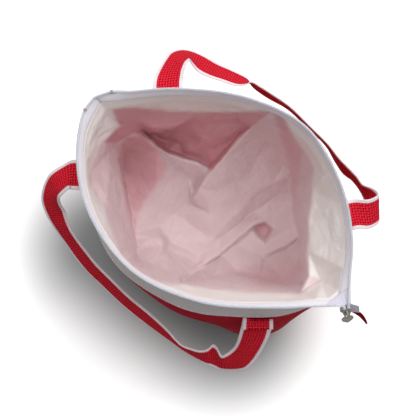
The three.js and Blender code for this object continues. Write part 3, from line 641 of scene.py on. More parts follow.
# The courses of the creases. A crest and the foot of its steep side are two courses, close together.
FILM_FOLDS = {
    "corner crease": [(107, 113, 274), (117, 127, 240)],
    "lip crest": [(124, 127, 226), (135, 121.5, 222), (142, 122, 220), (150, 126.5, 216), (160, 128.5, 214),
        (171, 127.5, 214), (181, 123.5, 220), (189, 118, 230), (195, 113, 240)],
    "lip foot": [(125, 129.4, 204), (135, 124, 198), (142, 124.6, 190), (150, 129, 168), (160, 131.5, 146),
        (171.5, 130.5, 142), (182.5, 126.5, 156), (190.5, 121, 185), (196.5, 115.5, 228)],
    "strip crest": [(117, 140, 180), (124, 135, 184), (133, 131.5, 180), (140.5, 129.5, 172)],
    "slit": [(142.5, 130.5, 156), (146.5, 134.5, 142), (150.5, 138.5, 134)],
    "left crest": [(116.5, 142, 176), (118, 156, 166), (120.5, 173, 156), (123, 190, 148), (126, 207, 141),
        (129, 224, 134), (132, 238, 129), (135.5, 252, 126), (137, 259, 130)],
    "left foot": [(118.3, 143, 126), (120.2, 156, 112), (122.8, 173, 102), (126, 190, 100), (129, 207, 98),
        (132, 224, 98), (134.6, 238, 104), (137.2, 250, 120)],
    "flap crest": [(144, 135.5, 172), (151, 141, 164), (156, 147, 156), (166, 153, 149), (182, 158, 141),
        (196, 162, 134), (209, 171, 132)],
    "flap foot": [(158, 144.5, 128), (167.5, 150.5, 120), (182.5, 155.5, 116), (197, 159, 116),
        (208, 166, 120)],
    "recess": [(153, 135, 128), (166, 140, 116), (180, 143, 122), (192, 150, 130)],
    "slant valley": [(157, 150, 142), (173, 165, 110), (188, 178, 92), (196, 184.5, 84)],
    "roll": [(166.5, 171.5, 120), (158, 183, 112), (151, 193, 106), (143, 205, 100), (138, 214, 97),
        (135.5, 234, 104)],
    "ridge crest": [(270, 112.5, 238), (254, 125, 206), (237, 141, 180), (223, 158, 158), (211, 171.5, 141),
        (200, 187, 118), (193, 199, 96)],
    "ridge foot": [(250.5, 123.5, 196), (234, 139, 164), (220, 155.5, 138), (209.5, 168, 126)],
    "low valley": [(193, 199, 94), (190, 201, 74), (175, 213.5, 72), (159, 226.5, 78)],
    "red wall": [(206, 124, 196), (228, 122, 206), (246, 117, 222)],
    "red wall low": [(203, 142, 146), (214, 148, 142)],
    "light face": [(262, 148, 150), (250, 172, 120), (228, 192, 106), (212, 214, 90)],
    "face edge": [(288, 176, 118), (272, 184, 106), (258, 191, 98), (240, 211, 86), (227, 223, 80),
        (213, 240, 72), (199, 256, 68)],
    "deep valley": [(288, 190, 92), (270, 200, 76), (252, 212, 69), (240, 222, 68), (222, 236, 68),
        (205, 251, 68), (196, 264, 72)],
    "long crest": [(254, 224, 84), (246, 231, 82), (233, 242, 78), (220, 253, 76), (208, 260, 76),
        (198, 267, 82), (187, 275, 108), (178, 281, 160)],
    "long foot": [(248.5, 234, 70), (235, 244.5, 67), (222, 255.5, 66), (210, 262.5, 68), (200, 269.5, 76),
        (190, 277.5, 106)],
    "hollow": [(254, 227.5, 64), (264, 224.5, 62), (270, 230, 61), (264.5, 238, 62)],
    "hollow edge": [(264.5, 220.5, 78), (275, 229.5, 74), (267.5, 243.5, 78)],
    "hollow lip": [(249.5, 230.5, 72), (265.5, 244.5, 74)],
    "right crease": [(275, 117, 224), (280, 133, 176), (287.5, 156, 134), (292, 181, 112), (293.6, 202, 104),
        (296.6, 222, 106)],
    "corner flap": [(267.5, 244.5, 76), (281, 233, 88), (296.6, 222, 106), (299, 236, 100), (285, 247, 82),
        (262, 257, 66), (267.5, 244.5, 76)],
    "flap shade": [(299, 238, 90), (286, 249.5, 74), (264, 259.5, 62)],
    "end seam": [(301, 232, 132), (300.5, 250, 122), (299.5, 270, 132), (298.5, 285, 176)],
    "box seam": [(284, 250, 66), (282, 277, 104), (296, 276, 134)],
    "low crease": [(238, 272, 90), (260, 277, 96), (281, 282, 124)],
    "low rise": [(216, 276, 118), (238, 279, 124), (262, 284, 150)],
    "dent": [(157, 233.5, 92), (165, 235.5, 80), (169.5, 242, 78), (167, 249, 92)],
    "dent rise": [(150, 238, 104), (161, 240, 103), (163, 246, 106)],
    "front rise": [(141, 262, 150), (152, 266, 150), (168, 272, 148)],
    "left pleat": [(104, 156, 214), (108, 182, 204), (114, 208, 196), (121, 232, 190), (127, 250, 186)],
}

# Where the film is tinted deep pink: partly where it lies against the red shell, partly painted shade over the
# recess, the creases' shaded sides and the hollow. Outlines in the view, how strongly the pink lies there at
# the outline's top and at its foot, and how wide the outline's edge is, in pixels.
SHELL_AND_SHADE_ZONES = [
    ([(120, 126), (110, 107), (166, 106), (236, 108), (272, 107), (270, 112.5), (254, 125), (237, 141),
        (223, 158), (211, 171.5), (208, 166), (197, 160), (182, 157), (167, 152), (156, 146), (150, 139),
        (142, 131.5), (133, 134), (124, 138), (116, 143), (103, 142)], 0.85, 0.9, 1.8),
    ([(119.5, 142), (133, 134), (143, 132), (151, 142), (160, 152), (167, 170), (158, 183), (151, 193),
        (143, 205), (138, 214), (136, 240), (131.5, 222), (127.8, 205), (124, 186),
        (121.5, 166)], 0.8, 0.4, 4.0),
    ([(272, 110), (284, 116), (294, 136), (304, 152), (300, 170), (298, 200), (296.6, 222), (293.6, 202),
        (291, 181), (286, 156), (279, 133)], 0.85, 0.15, 4.0),
    ([(254, 227), (264.5, 222), (272, 230), (265, 241)], 0.55, 0.55, 2.0),
    ([(232, 270), (262, 262), (288, 256), (304, 262), (302, 284), (262, 286)], 0.2, 0.35, 6.0),
]


def depth_inside(points, outline):
    """How deep inside a closed outline each point lies. Outside it, this is less than nothing."""
    outline = np.asarray(outline, float)
    reach = np.full(len(points), 1e9)
    inside = np.zeros(len(points), bool)
    for a, b in zip(outline, np.roll(outline, -1, axis=0)):
        length = np.linalg.norm(b - a)
        run = (b - a) / length
        along = np.clip((points - a) @ run, 0, length)
        reach = np.minimum(reach, np.linalg.norm(points - (a + along[:, None] * run), axis=1))
        if a[1] != b[1]:
            crosses = (a[1] > points[:, 1]) != (b[1] > points[:, 1])
            at = (b[0] - a[0]) * (points[:, 1] - a[1]) / (b[1] - a[1]) + a[0]
            inside ^= crosses & (points[:, 0] < at)
    return np.where(inside, reach, -reach)


def sack_rings():
    """Rings of the smooth sack that the film would make if it were taut, from its top edge to the floor."""
    straight = np.concatenate([np.linspace(FILM_TOP, 285, 6), np.linspace(280, FILM_FLOOR + FILM_FILLET, 24)])
    sewn = smoothstep(FILM_SEWN_FROM, FILM_TOP - 3, straight)
    rings = [wall_ring(height, FILM_PLACE + (FILM_SEWN_PLACE - FILM_PLACE) * step)
             for height, step in zip(straight, sewn)]
    for turn in np.linspace(0, math.pi / 2, 8)[1:]:
        rings.append(wall_ring(FILM_FLOOR + FILM_FILLET * (1 - math.sin(turn)),
                               FILM_PLACE + FILM_FILLET * (1 - math.cos(turn))))
    return np.array(rings + [middle_line(rings[-1])])


def fold_facets(rim):
    """The flat facets between the creases: corners with their heights, and triangles."""
    chains = [[(*place, BAND_EDGE_HEIGHT) for place in BAND_EDGE + BAND_EDGE[:1]]]
    chains.append([(*place, FILM_TOP) for place in [*rim, rim[0]][::4]])
    chains += FILM_FOLDS.values()
    places = []
    edges = []
    for chain in chains:
        edges += [(len(places) + i, len(places) + i + 1) for i in range(len(chain) - 1)]
        places += chain
    flat = [Vector(place[:2]) for place in places]
    corners, _, facets, sources, _, _ = shapes.delaunay_2d_cdt(flat, edges, [], 0, 0.01)
    corners = np.array([tuple(corner) for corner in corners])
    known = np.array(places)
    heights = []
    for corner, source in zip(corners, sources):
        nearest = np.argsort(np.linalg.norm(known[:, :2] - corner, axis=1))[:2]
        heights.append(known[source[0], 2] if source else known[nearest, 2].mean())
    return corners, np.array(heights), facets


def facet_heights(pixels, corners, heights, facets):
    """The height of the facet over each place."""
    found = np.full(len(pixels), BAND_EDGE_HEIGHT)
    for facet in facets:
        a, b, c = triangle = corners[list(facet)]
        inside_box = (pixels >= triangle.min(axis=0) - 0.01) & (pixels <= triangle.max(axis=0) + 0.01)
        near = np.nonzero(inside_box.all(axis=1))[0]
        area = (b[0] - a[0]) * (c[1] - a[1]) - (c[0] - a[0]) * (b[1] - a[1])
        if len(near) == 0 or abs(area) < 1e-9:
            continue
        p = pixels[near] - a
        second = (p[:, 0] * (c[1] - a[1]) - p[:, 1] * (c[0] - a[0])) / area
        third = (p[:, 1] * (b[0] - a[0]) - p[:, 0] * (b[1] - a[1])) / area
        inside = (second >= -1e-6) & (third >= -1e-6) & (second + third <= 1 + 1e-6)
        za, zb, zc = heights[list(facet)]
        found[near[inside]] = (za + second * (zb - za) + third * (zc - za))[inside]
    return found


def softened(values):
    """Values on a grid, averaged with their neighbours."""
    for axis in (0, 1):
        values = (np.roll(values, 1, axis) + 2 * values + np.roll(values, -1, axis)) / 4
    return values


# The film's small creases and soft waves: how far apart each kind is, and how high.
CREASES = [(34, 2.4, (0, 0, 0)), (13, 0.8, (7, 3, 5))]
WAVES_APART = 22


def crumple(point):
    """Small irregular creases of thin film: faceted noise at two sizes, and soft waves."""
    height = 0.0
    for apart, high, shift in CREASES:
        near = noise.voronoi(Vector(point) / apart + Vector(shift))[0]
        height += high * (near[1] - near[0])
    return height + noise.noise(Vector(point) / WAVES_APART)


def film_points(rim, wall):
    """Points of the film inside its top edge, on a grid in the view: on the folds, or else on the wall."""
    low = rim.min(axis=0) - 2 * FILM_GRID
    high = rim.max(axis=0) + 2 * FILM_GRID
    grid = np.stack(np.meshgrid(*(np.arange(a, b, FILM_GRID) for a, b in zip(low, high))), -1)
    pixels = grid.reshape(-1, 2)
    rays = placed(pixels, np.zeros(len(pixels))) - EYE
    hits = [wall.ray_cast(Vector(EYE), Vector(ray))[0] for ray in rays]
    wall_heights = np.array([FILM_TOP if hit is None else hit.z for hit in hits])
    heights = np.maximum(facet_heights(pixels, *fold_facets(rim)), wall_heights)
    heights = np.maximum(softened(heights.reshape(grid.shape[:2])).reshape(-1), wall_heights + 1)
    within = depth_inside(pixels, rim) > FILM_GRID * 0.7
    return placed(pixels[within], heights[within])


def make_liner():
    sack = sack_rings()
    faces = grid_faces(*sack.shape[:2], closed=True)
    wall = BVHTree.FromPolygons([tuple(p) for p in sack.reshape(-1, 3)], faces)
    rim = seen_at(sack[0])
    points = film_points(rim, wall)
    flat = [Vector(place) for place in (*rim, *seen_at(points))]
    edges = [(i, (i + 1) % len(rim)) for i in range(len(rim))]
    _, _, facets, sources, _, _ = shapes.delaunay_2d_cdt(flat, edges, [], 1, 1e-5)
    points = np.concatenate([sack[0], points])[[source[0] for source in sources]]
    piece = finish_piece("film_liner", points, facets, FILM)
    normals = np.empty(points.size, np.float32)
    piece.data.vertices.foreach_get("normal", normals)
    normals = normals.reshape(-1, 3)
    normals *= np.where(normals @ VIEW_FORWARD > 0, -1, 1)[:, None]
    hold = smoothstep(1, 8, depth_inside(seen_at(points), rim))
    points = points + normals * (np.array([crumple(p) for p in points]) * hold)[:, None]
    points[:, 2] = np.maximum(points[:, 2], FILM_FLOOR)
    piece.data.vertices.foreach_set("co", (points * MM).astype(np.float32).ravel())
    colour_film(piece, points, wall)
    solid = piece.modifiers.new("thickness", "SOLIDIFY")
    solid.thickness = FILM_THICKNESS * MM
    solid.offset = 0
    belongs(piece, "liner_white", "liner_front", "liner_back", "liner_base")


# The shell shows through faintly within some millimetres of it. The zones' edges wander, by that much and
# over that distance, and the band's edge is soft over some pixels.
FAINT_REACH = 14
FAINT_MOST = 0.2
EDGE_WANDER = 1.2
EDGE_WAVES = 12
BAND_SOFT = 2.5


def colour_film(piece, points, wall):
    """Sets what lies behind each point of the film: the red shell, how closely, or the white band. The zones'
    deep pink also stands for painted shade in the recess, the hollow and the creases.
    """
    seen = seen_at(points)
    wander = np.array([noise.noise(Vector(p) / EDGE_WAVES) for p in points]) * EDGE_WANDER
    off_wall = np.array([(wall.find_nearest(Vector(p))[3] or 0.0) for p in points])
    close = np.exp(-off_wall / FAINT_REACH) * FAINT_MOST
    # The zones add deep pink: partly the shell close behind, partly painted shade over the recess, the hollow
    # and the creases.
    for outline, top, foot, soft in SHELL_AND_SHADE_ZONES:
        rows = [down for _, down in outline]
        level = np.interp(seen[:, 1], [min(rows), max(rows)], [top, foot])
        close = np.maximum(close, level * smoothstep(-soft, soft, depth_inside(seen, outline) + wander))
    band = smoothstep(-BAND_SOFT, BAND_SOFT, wander - depth_inside(seen, BAND_EDGE))
    for name, values in (("shell_near", close), ("band_behind", band)):
        attribute = piece.data.attributes.new(name, "FLOAT", "POINT")
        attribute.data.foreach_set("value", np.asarray(values, np.float32))


# The zip along the rim.

# The tapes' last columns are drawn out to the corners of the tail's root, in the tail's frame.
NECK_COLUMNS = 14
TAIL_START = -0.3
TAIL_ROOTS = {FRONT: (TAIL_START, -3.4, 0.0), BACK: (TAIL_START, 5.2, 0.0)}

# The tail's frame: x along it, y to its left, z off its face.
TAIL_TURN = -36.0
TAIL_DROOP = 62.0
TAIL_ORIGIN = np.array([MOUTH_REACH["right"] + 6.0, 1.0, BAG_HEIGHT + TAPE_RISE - NECK_DROP + 0.6])


def turned(degrees, first, second):
    """A turn of the axes numbered first and second towards each other."""
    turn = math.radians(degrees)
    made = np.eye(3)
    made[first, first] = made[second, second] = math.cos(turn)
    made[second, first] = math.sin(turn)
    made[first, second] = -math.sin(turn)
    return made


TAIL_AXES = turned(TAIL_TURN, 0, 1) @ turned(TAIL_DROOP, 2, 0)


def on_tail(points):
    return np.asarray(points, float) @ TAIL_AXES.T + TAIL_ORIGIN


def corner_shoulder(share):
    """How far the tape bows out beside the left corner, which rounds it in plan."""
    return TAPE_SHOULDER * np.exp(-((share - SHOULDER_AT) / SHOULDER_SPREAD) ** 2)


def tape_rows(side):
    """The tape's rows, from its sewn edge up to the coil, leaning outwards above the rim."""
    rows = list(wall_rows(side, TAPE_LOW + (BAG_HEIGHT - TAPE_LOW) * np.linspace(0, 1, 5), TAPE_PLACE))
    neck = smoothstep(1 - 4 / SEAM_PARTS, 1 - 2 / SEAM_PARTS, ROUND)
    lean = TAPE_LEAN + (TAPE_CORNER_LEAN - TAPE_LEAN) * np.abs(2 * ROUND - 1) ** 3 + corner_shoulder(ROUND)
    lean += TAPE_WANDER * np.sin(TAPE_WAVES * ROUND)
    draw = np.linspace(0, 1, NECK_COLUMNS)[:, None]
    standing = np.linspace(0, 1, 6)[1:]
    for share in standing:
        row = wall_rows(side, [BAG_HEIGHT], TAPE_PLACE - lean * share**TAPE_CURL)[0]
        row[:, 2] = BAG_HEIGHT + (TAPE_RISE - NECK_DROP * neck) * share
        rows.append(row)
    edge = rows[-1][-NECK_COLUMNS] * (1 - draw) + on_tail(TAIL_ROOTS[side]) * draw
    for row, share in zip(rows[-5:], standing):
        row[-NECK_COLUMNS:] += (edge - row[-NECK_COLUMNS:]) * share**1.5 * smoothstep(0, 0.4, draw)
    return np.array(rows)


def make_tapes():
    for side, word in SIDE_NAMES.items():
        rows = tape_rows(side)
        away = np.concatenate([outward_of(rows[..., :2], side), np.zeros(rows.shape[:2] + (1,))], -1)
        tape = sheet_between(f"rim_tape_{word}", rows, rows - away * TAPE_THICKNESS, TAPE)
        belongs(tape, "zip_white", f"zip_tape_{word}")


# What repeats along a line is placed by a node tree.

def repeat_tree(name, shape):
    """A tree that sets copies of a small shape along the line that it is given, a pitch apart."""
    tree = bpy.data.node_groups.new(name, "GeometryNodeTree")
    tree.interface.new_socket("Geometry", in_out="INPUT", socket_type="NodeSocketGeometry")
    tree.interface.new_socket("Pitch", in_out="INPUT", socket_type="NodeSocketFloat")
    tree.interface.new_socket("Geometry", in_out="OUTPUT", socket_type="NodeSocketGeometry")
    start = add(tree, "NodeGroupInput").outputs
    line = add(tree, "GeometryNodeMeshToCurve", {0: start["Geometry"]})
    spots = add(tree, "GeometryNodeCurveToPoints", {"Curve": line, "Length": start["Pitch"]}, mode="LENGTH")
    geometry, material = shape(tree)
    copies = add(tree, "GeometryNodeInstanceOnPoints", {
        "Points": spots, "Instance": geometry, "Rotation": spots.outputs["Rotation"]})
    real = add(tree, "GeometryNodeRealizeInstances", {0: copies})
    shaded = add(tree, "GeometryNodeSetShadeSmooth", {0: real})
    painted = add(tree, "GeometryNodeSetMaterial", {0: shaded, "Material": material})
    add(tree, "NodeGroupOutput", {0: painted})
    return tree


STITCH_LENGTH = 2.6


def stitch_shape(thickness, material):
    """One stitch: a short rounded run of thread along the seam."""
    def shape(tree):
        bead = add(tree, "GeometryNodeMeshUVSphere", {"Segments": 6, "Rings": 5, "Radius": 0.5})
        size = thickness * MM, thickness * MM, STITCH_LENGTH * MM
        return add(tree, "GeometryNodeTransform", {0: bead, "Scale": size}), material
    return shape


COIL_WIRE = 0.42


def coil_shape(tree):
    """One loop of the coil, a little aslant, as wound wire is."""
    loop, wire = (add(tree, "GeometryNodeCurvePrimitiveCircle", {"Resolution": sides, "Radius": radius * MM})
                  for sides, radius in ((8, COIL_RADIUS * 0.82), (5, COIL_WIRE)))
    tube = add(tree, "GeometryNodeCurveToMesh", {0: loop, 1: wire})
    return add(tree, "GeometryNodeTransform", {0: tube, "Rotation": (0.3, 0.0, 0.0)}), COIL


COIL_PITCH = 1.5
STITCH_PITCH = 3.4
COIL_TREE = repeat_tree("zip coil", coil_shape)
WHITE_STITCHES = repeat_tree("white stitches", stitch_shape(0.55, WHITE_THREAD))
RED_STITCHES = repeat_tree("red stitches", stitch_shape(0.5, RED_THREAD))


def along_lines(name, lines, tree, pitch, slot, *nodes):
    """Runs a repeating tree along lines of points and keeps the result as one plain piece."""
    mesh = bpy.data.meshes.new(name)
    points = []
    edges = []
    for line in lines:
        edges += [(len(points) + i, len(points) + i + 1) for i in range(len(line) - 1)]
        points += (np.asarray(line) * MM).tolist()
    mesh.from_pydata(points, edges, [])
    piece = put(name, mesh)
    run = piece.modifiers.new("repeat", "NODES")
    run.node_group = tree
    sockets = {s.name: s.identifier for s in tree.interface.items_tree if s.in_out == "INPUT"}
    run[sockets["Pitch"]] = pitch * MM
    made = bpy.data.meshes.new_from_object(piece.evaluated_get(bpy.context.evaluated_depsgraph_get()))
    piece.modifiers.clear()
    piece.data = made
    belongs(piece, slot, *nodes)


# The coils start beside the left corner, and end side by side on the tail, in the tail's frame.
COIL_START = 1.5
COIL_ENDS = -1, 5.3
COIL_APART = 2.5
COIL_OFF = 2.0


def make_coils():
    for side, word in SIDE_NAMES.items():
        rim = tape_rows(side)[-1]
        rim[:, 2] = BAG_HEIGHT + TAPE_RISE + 0.3 + COIL_RADIUS
        steps = rim[:-12:6]
        steps[0, 0] += COIL_START
        end = on_tail([(x, side * COIL_APART, COIL_OFF) for x in COIL_ENDS])
        line = smooth_line(np.concatenate([steps, end]), 8)
        along_lines(f"coil_loops_{word}", [line], COIL_TREE, COIL_PITCH, "zip_white", f"zip_coil_{word}")


# The handles.

WEB_OUT = 0.3 + WEB_THICKNESS / 2
STRAP_PLACES = {FRONT: (0.168, 0.8), BACK: (0.172, 0.77)}
STRAP_FOOT = 4.0
BEND_RADIUS = 4.0
BEND_LOW = BAND_SEAM - 1.2 - BEND_RADIUS
STUB_LENGTH = WEB_WIDTH * 0.61
# How far each of a strap's two stitched lines lies to the side of its middle.
STITCH_SIDE = 10.5

# How the loops hang, as the photograph shows them: the places of the webbing's outer and inner edge
# across and down in its pixels, and the height of its middle in millimetres. Its inner edge is the higher.
LOOP_EDGES = {
    FRONT: [(66, 163, 69, 189, 243), (58, 167.5, 64, 193, 240), (50.5, 173, 60, 197.5, 235),
        (46, 180, 59.5, 199.5, 229), (42.5, 190, 60, 202, 222), (41.5, 199, 61.5, 205.5, 214),
        (44, 209, 65, 211, 207), (49, 219.5, 67, 218, 201), (57, 231.5, 71, 229, 195),
        (66, 244, 78, 240, 190), (75, 257, 88, 253, 186), (86, 270.5, 98, 265.5, 183),
        (100, 284, 111, 278.5, 180), (120, 303, 130, 297, 178), (140, 319.5, 150, 313.5, 177),
        (160, 334, 168, 330.5, 176), (172, 342, 176, 340, 175), (180, 348, 182, 345.5, 175),
        (189, 354, 191, 349, 175), (198, 359.5, 201, 351, 175), (206, 364, 208, 349, 176),
        (211, 366, 213, 344.5, 177), (216, 368, 216.5, 347, 178), (222, 369.5, 221, 355.5, 179),
        (233, 370.5, 226, 354, 183), (246, 369, 231.5, 349.5, 192), (254, 362, 235.5, 344.5, 203),
        (262, 350.5, 238.5, 336.5, 217), (268.5, 337.5, 241, 327, 231), (272.5, 323, 243, 318, 241)],
    BACK: [(153, 83, 183, 80, 244), (156.5, 73, 184.5, 71, 242), (163.5, 61, 187, 64, 238),
        (169.5, 53, 189, 61.5, 232), (180, 49.5, 190, 60.5, 226), (190, 50.5, 190.5, 62, 220),
        (198, 53, 192.5, 65.5, 216), (206, 56.5, 197, 71, 212), (217, 63, 207, 76.5, 206),
        (230, 69, 222, 81.5, 199), (242, 75, 237, 86, 193), (248, 79.5, 246, 85, 190),
        (252, 86, 251.5, 82, 189), (259, 92, 261, 87, 187), (269, 98.5, 272, 94, 184),
        (287.5, 109, 290, 106.5, 181), (308, 128, 310, 126, 182), (326, 146, 328, 144, 188),
        (335, 161.5, 340, 159, 196), (343, 173.5, 349, 168, 204), (352, 180.5, 357, 176.5, 212),
        (358.5, 188.5, 363, 184.5, 219), (362.5, 196, 371, 187.5, 225), (366, 205, 376, 190, 231),
        (373, 214, 378, 192.5, 236), (379, 221.5, 378, 195, 241), (371.5, 228, 368, 199.5, 244)],
}


# The webbing's section: where its flat part ends, how round its edges are, and how its cords and its
# border stand off its face.
WEB_FLAT_END = 0.7
WEB_ROUND = 0.15
CORD_RISE = 0.16
CORD_SUNK = 0.12
BORDER_RISE = 0.08


def web_section():
    """The webbing's cross-section, going round: place across it and height off its middle."""
    half = WEB_WIDTH / 2
    flat = np.linspace(-half + WEB_FLAT_END, half - WEB_FLAT_END, 46)
    cords = CORD_RISE * np.abs(np.cos(math.pi * flat / WEB_CORD)) - CORD_SUNK
    ribs = np.where(np.abs(flat) < half - WEB_BORDER, cords, BORDER_RISE)
    edge = [(half - WEB_ROUND, WEB_THICKNESS / 3), (half, 0.0), (half - WEB_ROUND, -WEB_THICKNESS / 3)]
    face = [(x, WEB_THICKNESS / 2 + r) for x, r in zip(flat, ribs)] + edge
    return np.array(face + [(-x, -h) for x, h in face])


def sweep_web(name, middles, sides, faces_up):
    """A strip of webbing through rows of a middle point, a direction across and a direction off its face."""
    section = web_section()
    rows = middles[:, None] + sides[:, None] * section[:, :1] + faces_up[:, None] * section[:, 1:]
    cloth = np.stack(np.broadcast_arrays(section[:, 0], run_lengths(middles)[:, None]), -1)
    return closed_tube(name, rows, WEBBING, cloth)


def strap_root(side, share):
    """Where a strap's bend meets the stub, and the end of the stub, which is on the fold line."""
    point, along, away = wall_spot(side, BEND_LOW + BEND_RADIUS, share, WEB_OUT + BEND_RADIUS)
    return point, along, away, point + away * STUB_LENGTH


def wall_run(side, share):
    """Rows of the strap up the wall and round its bend, up to the start of the stub."""
    rows = [wall_spot(side, height, share, WEB_OUT) for height in np.linspace(STRAP_FOOT, BEND_LOW, 60)]
    foot = rows[-1][0]
    _, along, away, _ = strap_root(side, share)
    for turn in np.linspace(0, math.pi / 2, 9)[1:]:
        rise = np.array([0, 0, math.sin(turn)])
        rows.append((foot + away * BEND_RADIUS * (1 - math.cos(turn)) + BEND_RADIUS * rise,
                     along, away * math.cos(turn) - rise))
    return np.array(rows).transpose(1, 0, 2)


def edge_pair(outer_x, outer_y, inner_x, inner_y, height):
    """The webbing's two edges in space: as far apart as it is wide, wherever the view shows them closer."""
    pixels = np.array([(outer_x, outer_y), (inner_x, inner_y)], float)
    low, high = 0.0, WEB_WIDTH
    for _ in range(20):
        rise = (low + high) / 2
        outer, inner = placed(pixels, height + np.array([-0.5, 0.5]) * rise)
        if np.linalg.norm(inner - outer) < WEB_WIDTH:
            low = rise
        else:
            high = rise
    return np.concatenate([outer, inner])


def stub_rows(root, along, away, sense):
    """The webbing's two edges where its bend ends, and further out on the stub."""
    half = along * sense * WEB_WIDTH / 2
    middles = [root + away * out for out in (0.0, STUB_LENGTH * 0.35)]
    return [np.concatenate([middle - half, middle + half]) for middle in middles]


def loop_run(side):
    """Rows of the free loop with its two stubs, from one bend to the other."""
    left, right = (strap_root(side, place)[:3] for place in STRAP_PLACES[side])
    rows = stub_rows(*left, 1) + [edge_pair(*stop) for stop in LOOP_EDGES[side]] + stub_rows(*right, -1)[::-1]
    rows = np.array(rows)
    middles = (rows[:, :3] + rows[:, 3:]) / 2
    line = resample(smooth_line(np.concatenate([middles, rows], 1), 24), 520, 3)
    middles = (line[:, 3:6] + line[:, 6:]) / 2
    across = unit(line[:, 6:] - line[:, 3:6])
    heading = unit(np.gradient(middles, axis=0))
    return middles, across, unit(np.cross(across, heading))


def make_handles():
    for side, word in SIDE_NAMES.items():
        for share, end in zip(STRAP_PLACES[side], ("left", "right")):
            strap = sweep_web(f"sewn_webbing_{word}_{end}", *wall_run(side, share))
            belongs(strap, "webbing_red", f"strap_{word}_{end}")
        loop = sweep_web(f"carry_loop_{word}", *loop_run(side))
        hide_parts(f"handle_{word}")
        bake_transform(loop)


# The end of the zip, in the tail's frame. Beyond the flat part, its far flank flares up.

TAIL_FLAT = 4.8
TAIL_NEAR = 6.0
TAIL_FAR = 13.0
TAIL_FLARE = 3.0
TAIL_LENGTH = 17.0
TAIL_PLACES = 31
# Where the tail has opened to its full width, and where and how far its near side draws in at its end.
TAIL_OPEN = 5
TAIL_END_REACH = 11, 17
TAIL_END_DRAWN = 3.6
# How far the gusset between the two tapes draws in to their middle, and how far it sags.
GUSSET_DRAWN = 0.35
GUSSET_SAG = 3
CHAIN_REACH = 6.2, 13.8
CHAIN_APART = 1.0
CHAIN_OFF = 1.6


def make_tail():
    rows = []
    root_near, root_far = (abs(TAIL_ROOTS[side][1]) for side in SIDE_NAMES)
    for x in np.linspace(TAIL_START, TAIL_LENGTH, 25):
        opening = float(smoothstep(TAIL_START, TAIL_OPEN, x))
        near = root_near + (TAIL_NEAR - root_near) * opening - TAIL_END_DRAWN * smoothstep(*TAIL_END_REACH, x)
        far = root_far + (TAIL_FAR - root_far) * opening
        across = np.linspace(-near, far, TAIL_PLACES)
        rise = TAIL_FLARE * opening * np.clip((across - TAIL_FLAT) / (far - TAIL_FLAT), 0, 1) ** 1.2
        rows.append(on_tail(np.stack([np.full(TAIL_PLACES, x), across, rise], 1)))
    front, back = (tape_rows(side)[-1, 7 - NECK_COLUMNS] for side in SIDE_NAMES)
    gusset = np.linspace(0, 1, TAIL_PLACES)[:, None]
    for share in np.linspace(0, 1, 9)[-2::-1]:
        start = front * (1 - share) + rows[0][0] * share
        end = back * (1 - share) + rows[0][-1] * share
        pull = (start + end) / 2 * GUSSET_DRAWN + rows[0][TAIL_PLACES // 2] * (1 - GUSSET_DRAWN)
        pull[2] -= GUSSET_SAG * (1 - share)
        rows.insert(0, bent(start, pull, end, gusset))
    rows = np.array(rows)
    off = TAIL_AXES[:, 2] * TAPE_THICKNESS / 2
    # The tail's tape carries painted shade: a darker copy of the rim's tape.
    belongs(sheet_between("tail_tape", rows + off, rows - off, SHADED_TAIL_TAPE), "zip_white", "zip_tail")
    chain = [on_tail([(x, y, CHAIN_OFF) for x in CHAIN_REACH]) for y in (-CHAIN_APART, CHAIN_APART)]
    along_lines("tail_chain", chain, COIL_TREE, COIL_PITCH, "zip_white", "zip_chain")


TAB_LENGTH = 21.0
TAB_WIDTH = 8.0
TAB_TIP = 1.8
TAB_THICKNESS = 1.2
# The directions in which the tab leaves the tail and in which it has bent at its tip.
TAB_LEAVES = np.array([0.7, 0.62, 0.17])
TAB_HANGS = np.array([0.88, 0.22, 0.4])


def make_end_tab():
    """A folded tab at the end of the tail's flared flank, which tapers as it hangs out."""
    across = unit([0.0, TAIL_FAR - TAIL_FLAT, TAIL_FLARE])
    start = np.array([TAIL_LENGTH + 0.3, TAIL_FAR, TAIL_FLARE]) - across * TAB_WIDTH / 2
    tip = start + unit(TAB_LEAVES + TAB_HANGS) * TAB_LENGTH
    middle = start + TAB_LEAVES * TAB_LENGTH / 2
    wide = np.linspace(-1, 1, 15)[:, None]
    rows = []
    for share in np.linspace(0, 1, 25):
        heading = (middle - start) * (1 - share) + (tip - middle) * share
        half = (TAB_WIDTH + (TAB_TIP - TAB_WIDTH) * share) / 2
        crown = 0.5 * (1 - wide**2) * unit(np.cross(heading, across))
        rows.append(bent(start, middle, tip, share) + wide * half * across + crown)
    rows = np.array(rows)
    under = rows - unit(np.cross(TAB_LEAVES + TAB_HANGS, across)) * TAB_THICKNESS
    tab = sheet_between("folded_end_tab", on_tail(rows), on_tail(under), TAB_CLOTH, cloth_map(rows))
    belongs(tab, "tab_red", "zip_end_tab")


STOP_COLUMN = 6


def make_top_stops():
    """The two clips at the left end of the coils, moved out with the bowed tape."""
    for side, word in SIDE_NAMES.items():
        away = outward_of(MOUTH_LINES[side], side)[STOP_COLUMN] * corner_shoulder(ROUND[STOP_COLUMN])
        shape = bmesh.new()
        shape.from_mesh(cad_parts[f"zip_top_stop_{word}"].data)
        bmesh.ops.remove_doubles(shape, verts=shape.verts, dist=WELD_REACH * MM)
        bmesh.ops.translate(shape, verts=shape.verts, vec=Vector((*away, 0)) * MM)
        mesh = bpy.data.meshes.new(f"top_stop_{word}")
        shape.to_mesh(mesh)
        shape.free()
        mesh.materials.append(NICKEL)
        belongs(put(f"top_stop_{word}", mesh), "nickel", f"zip_top_stop_{word}")


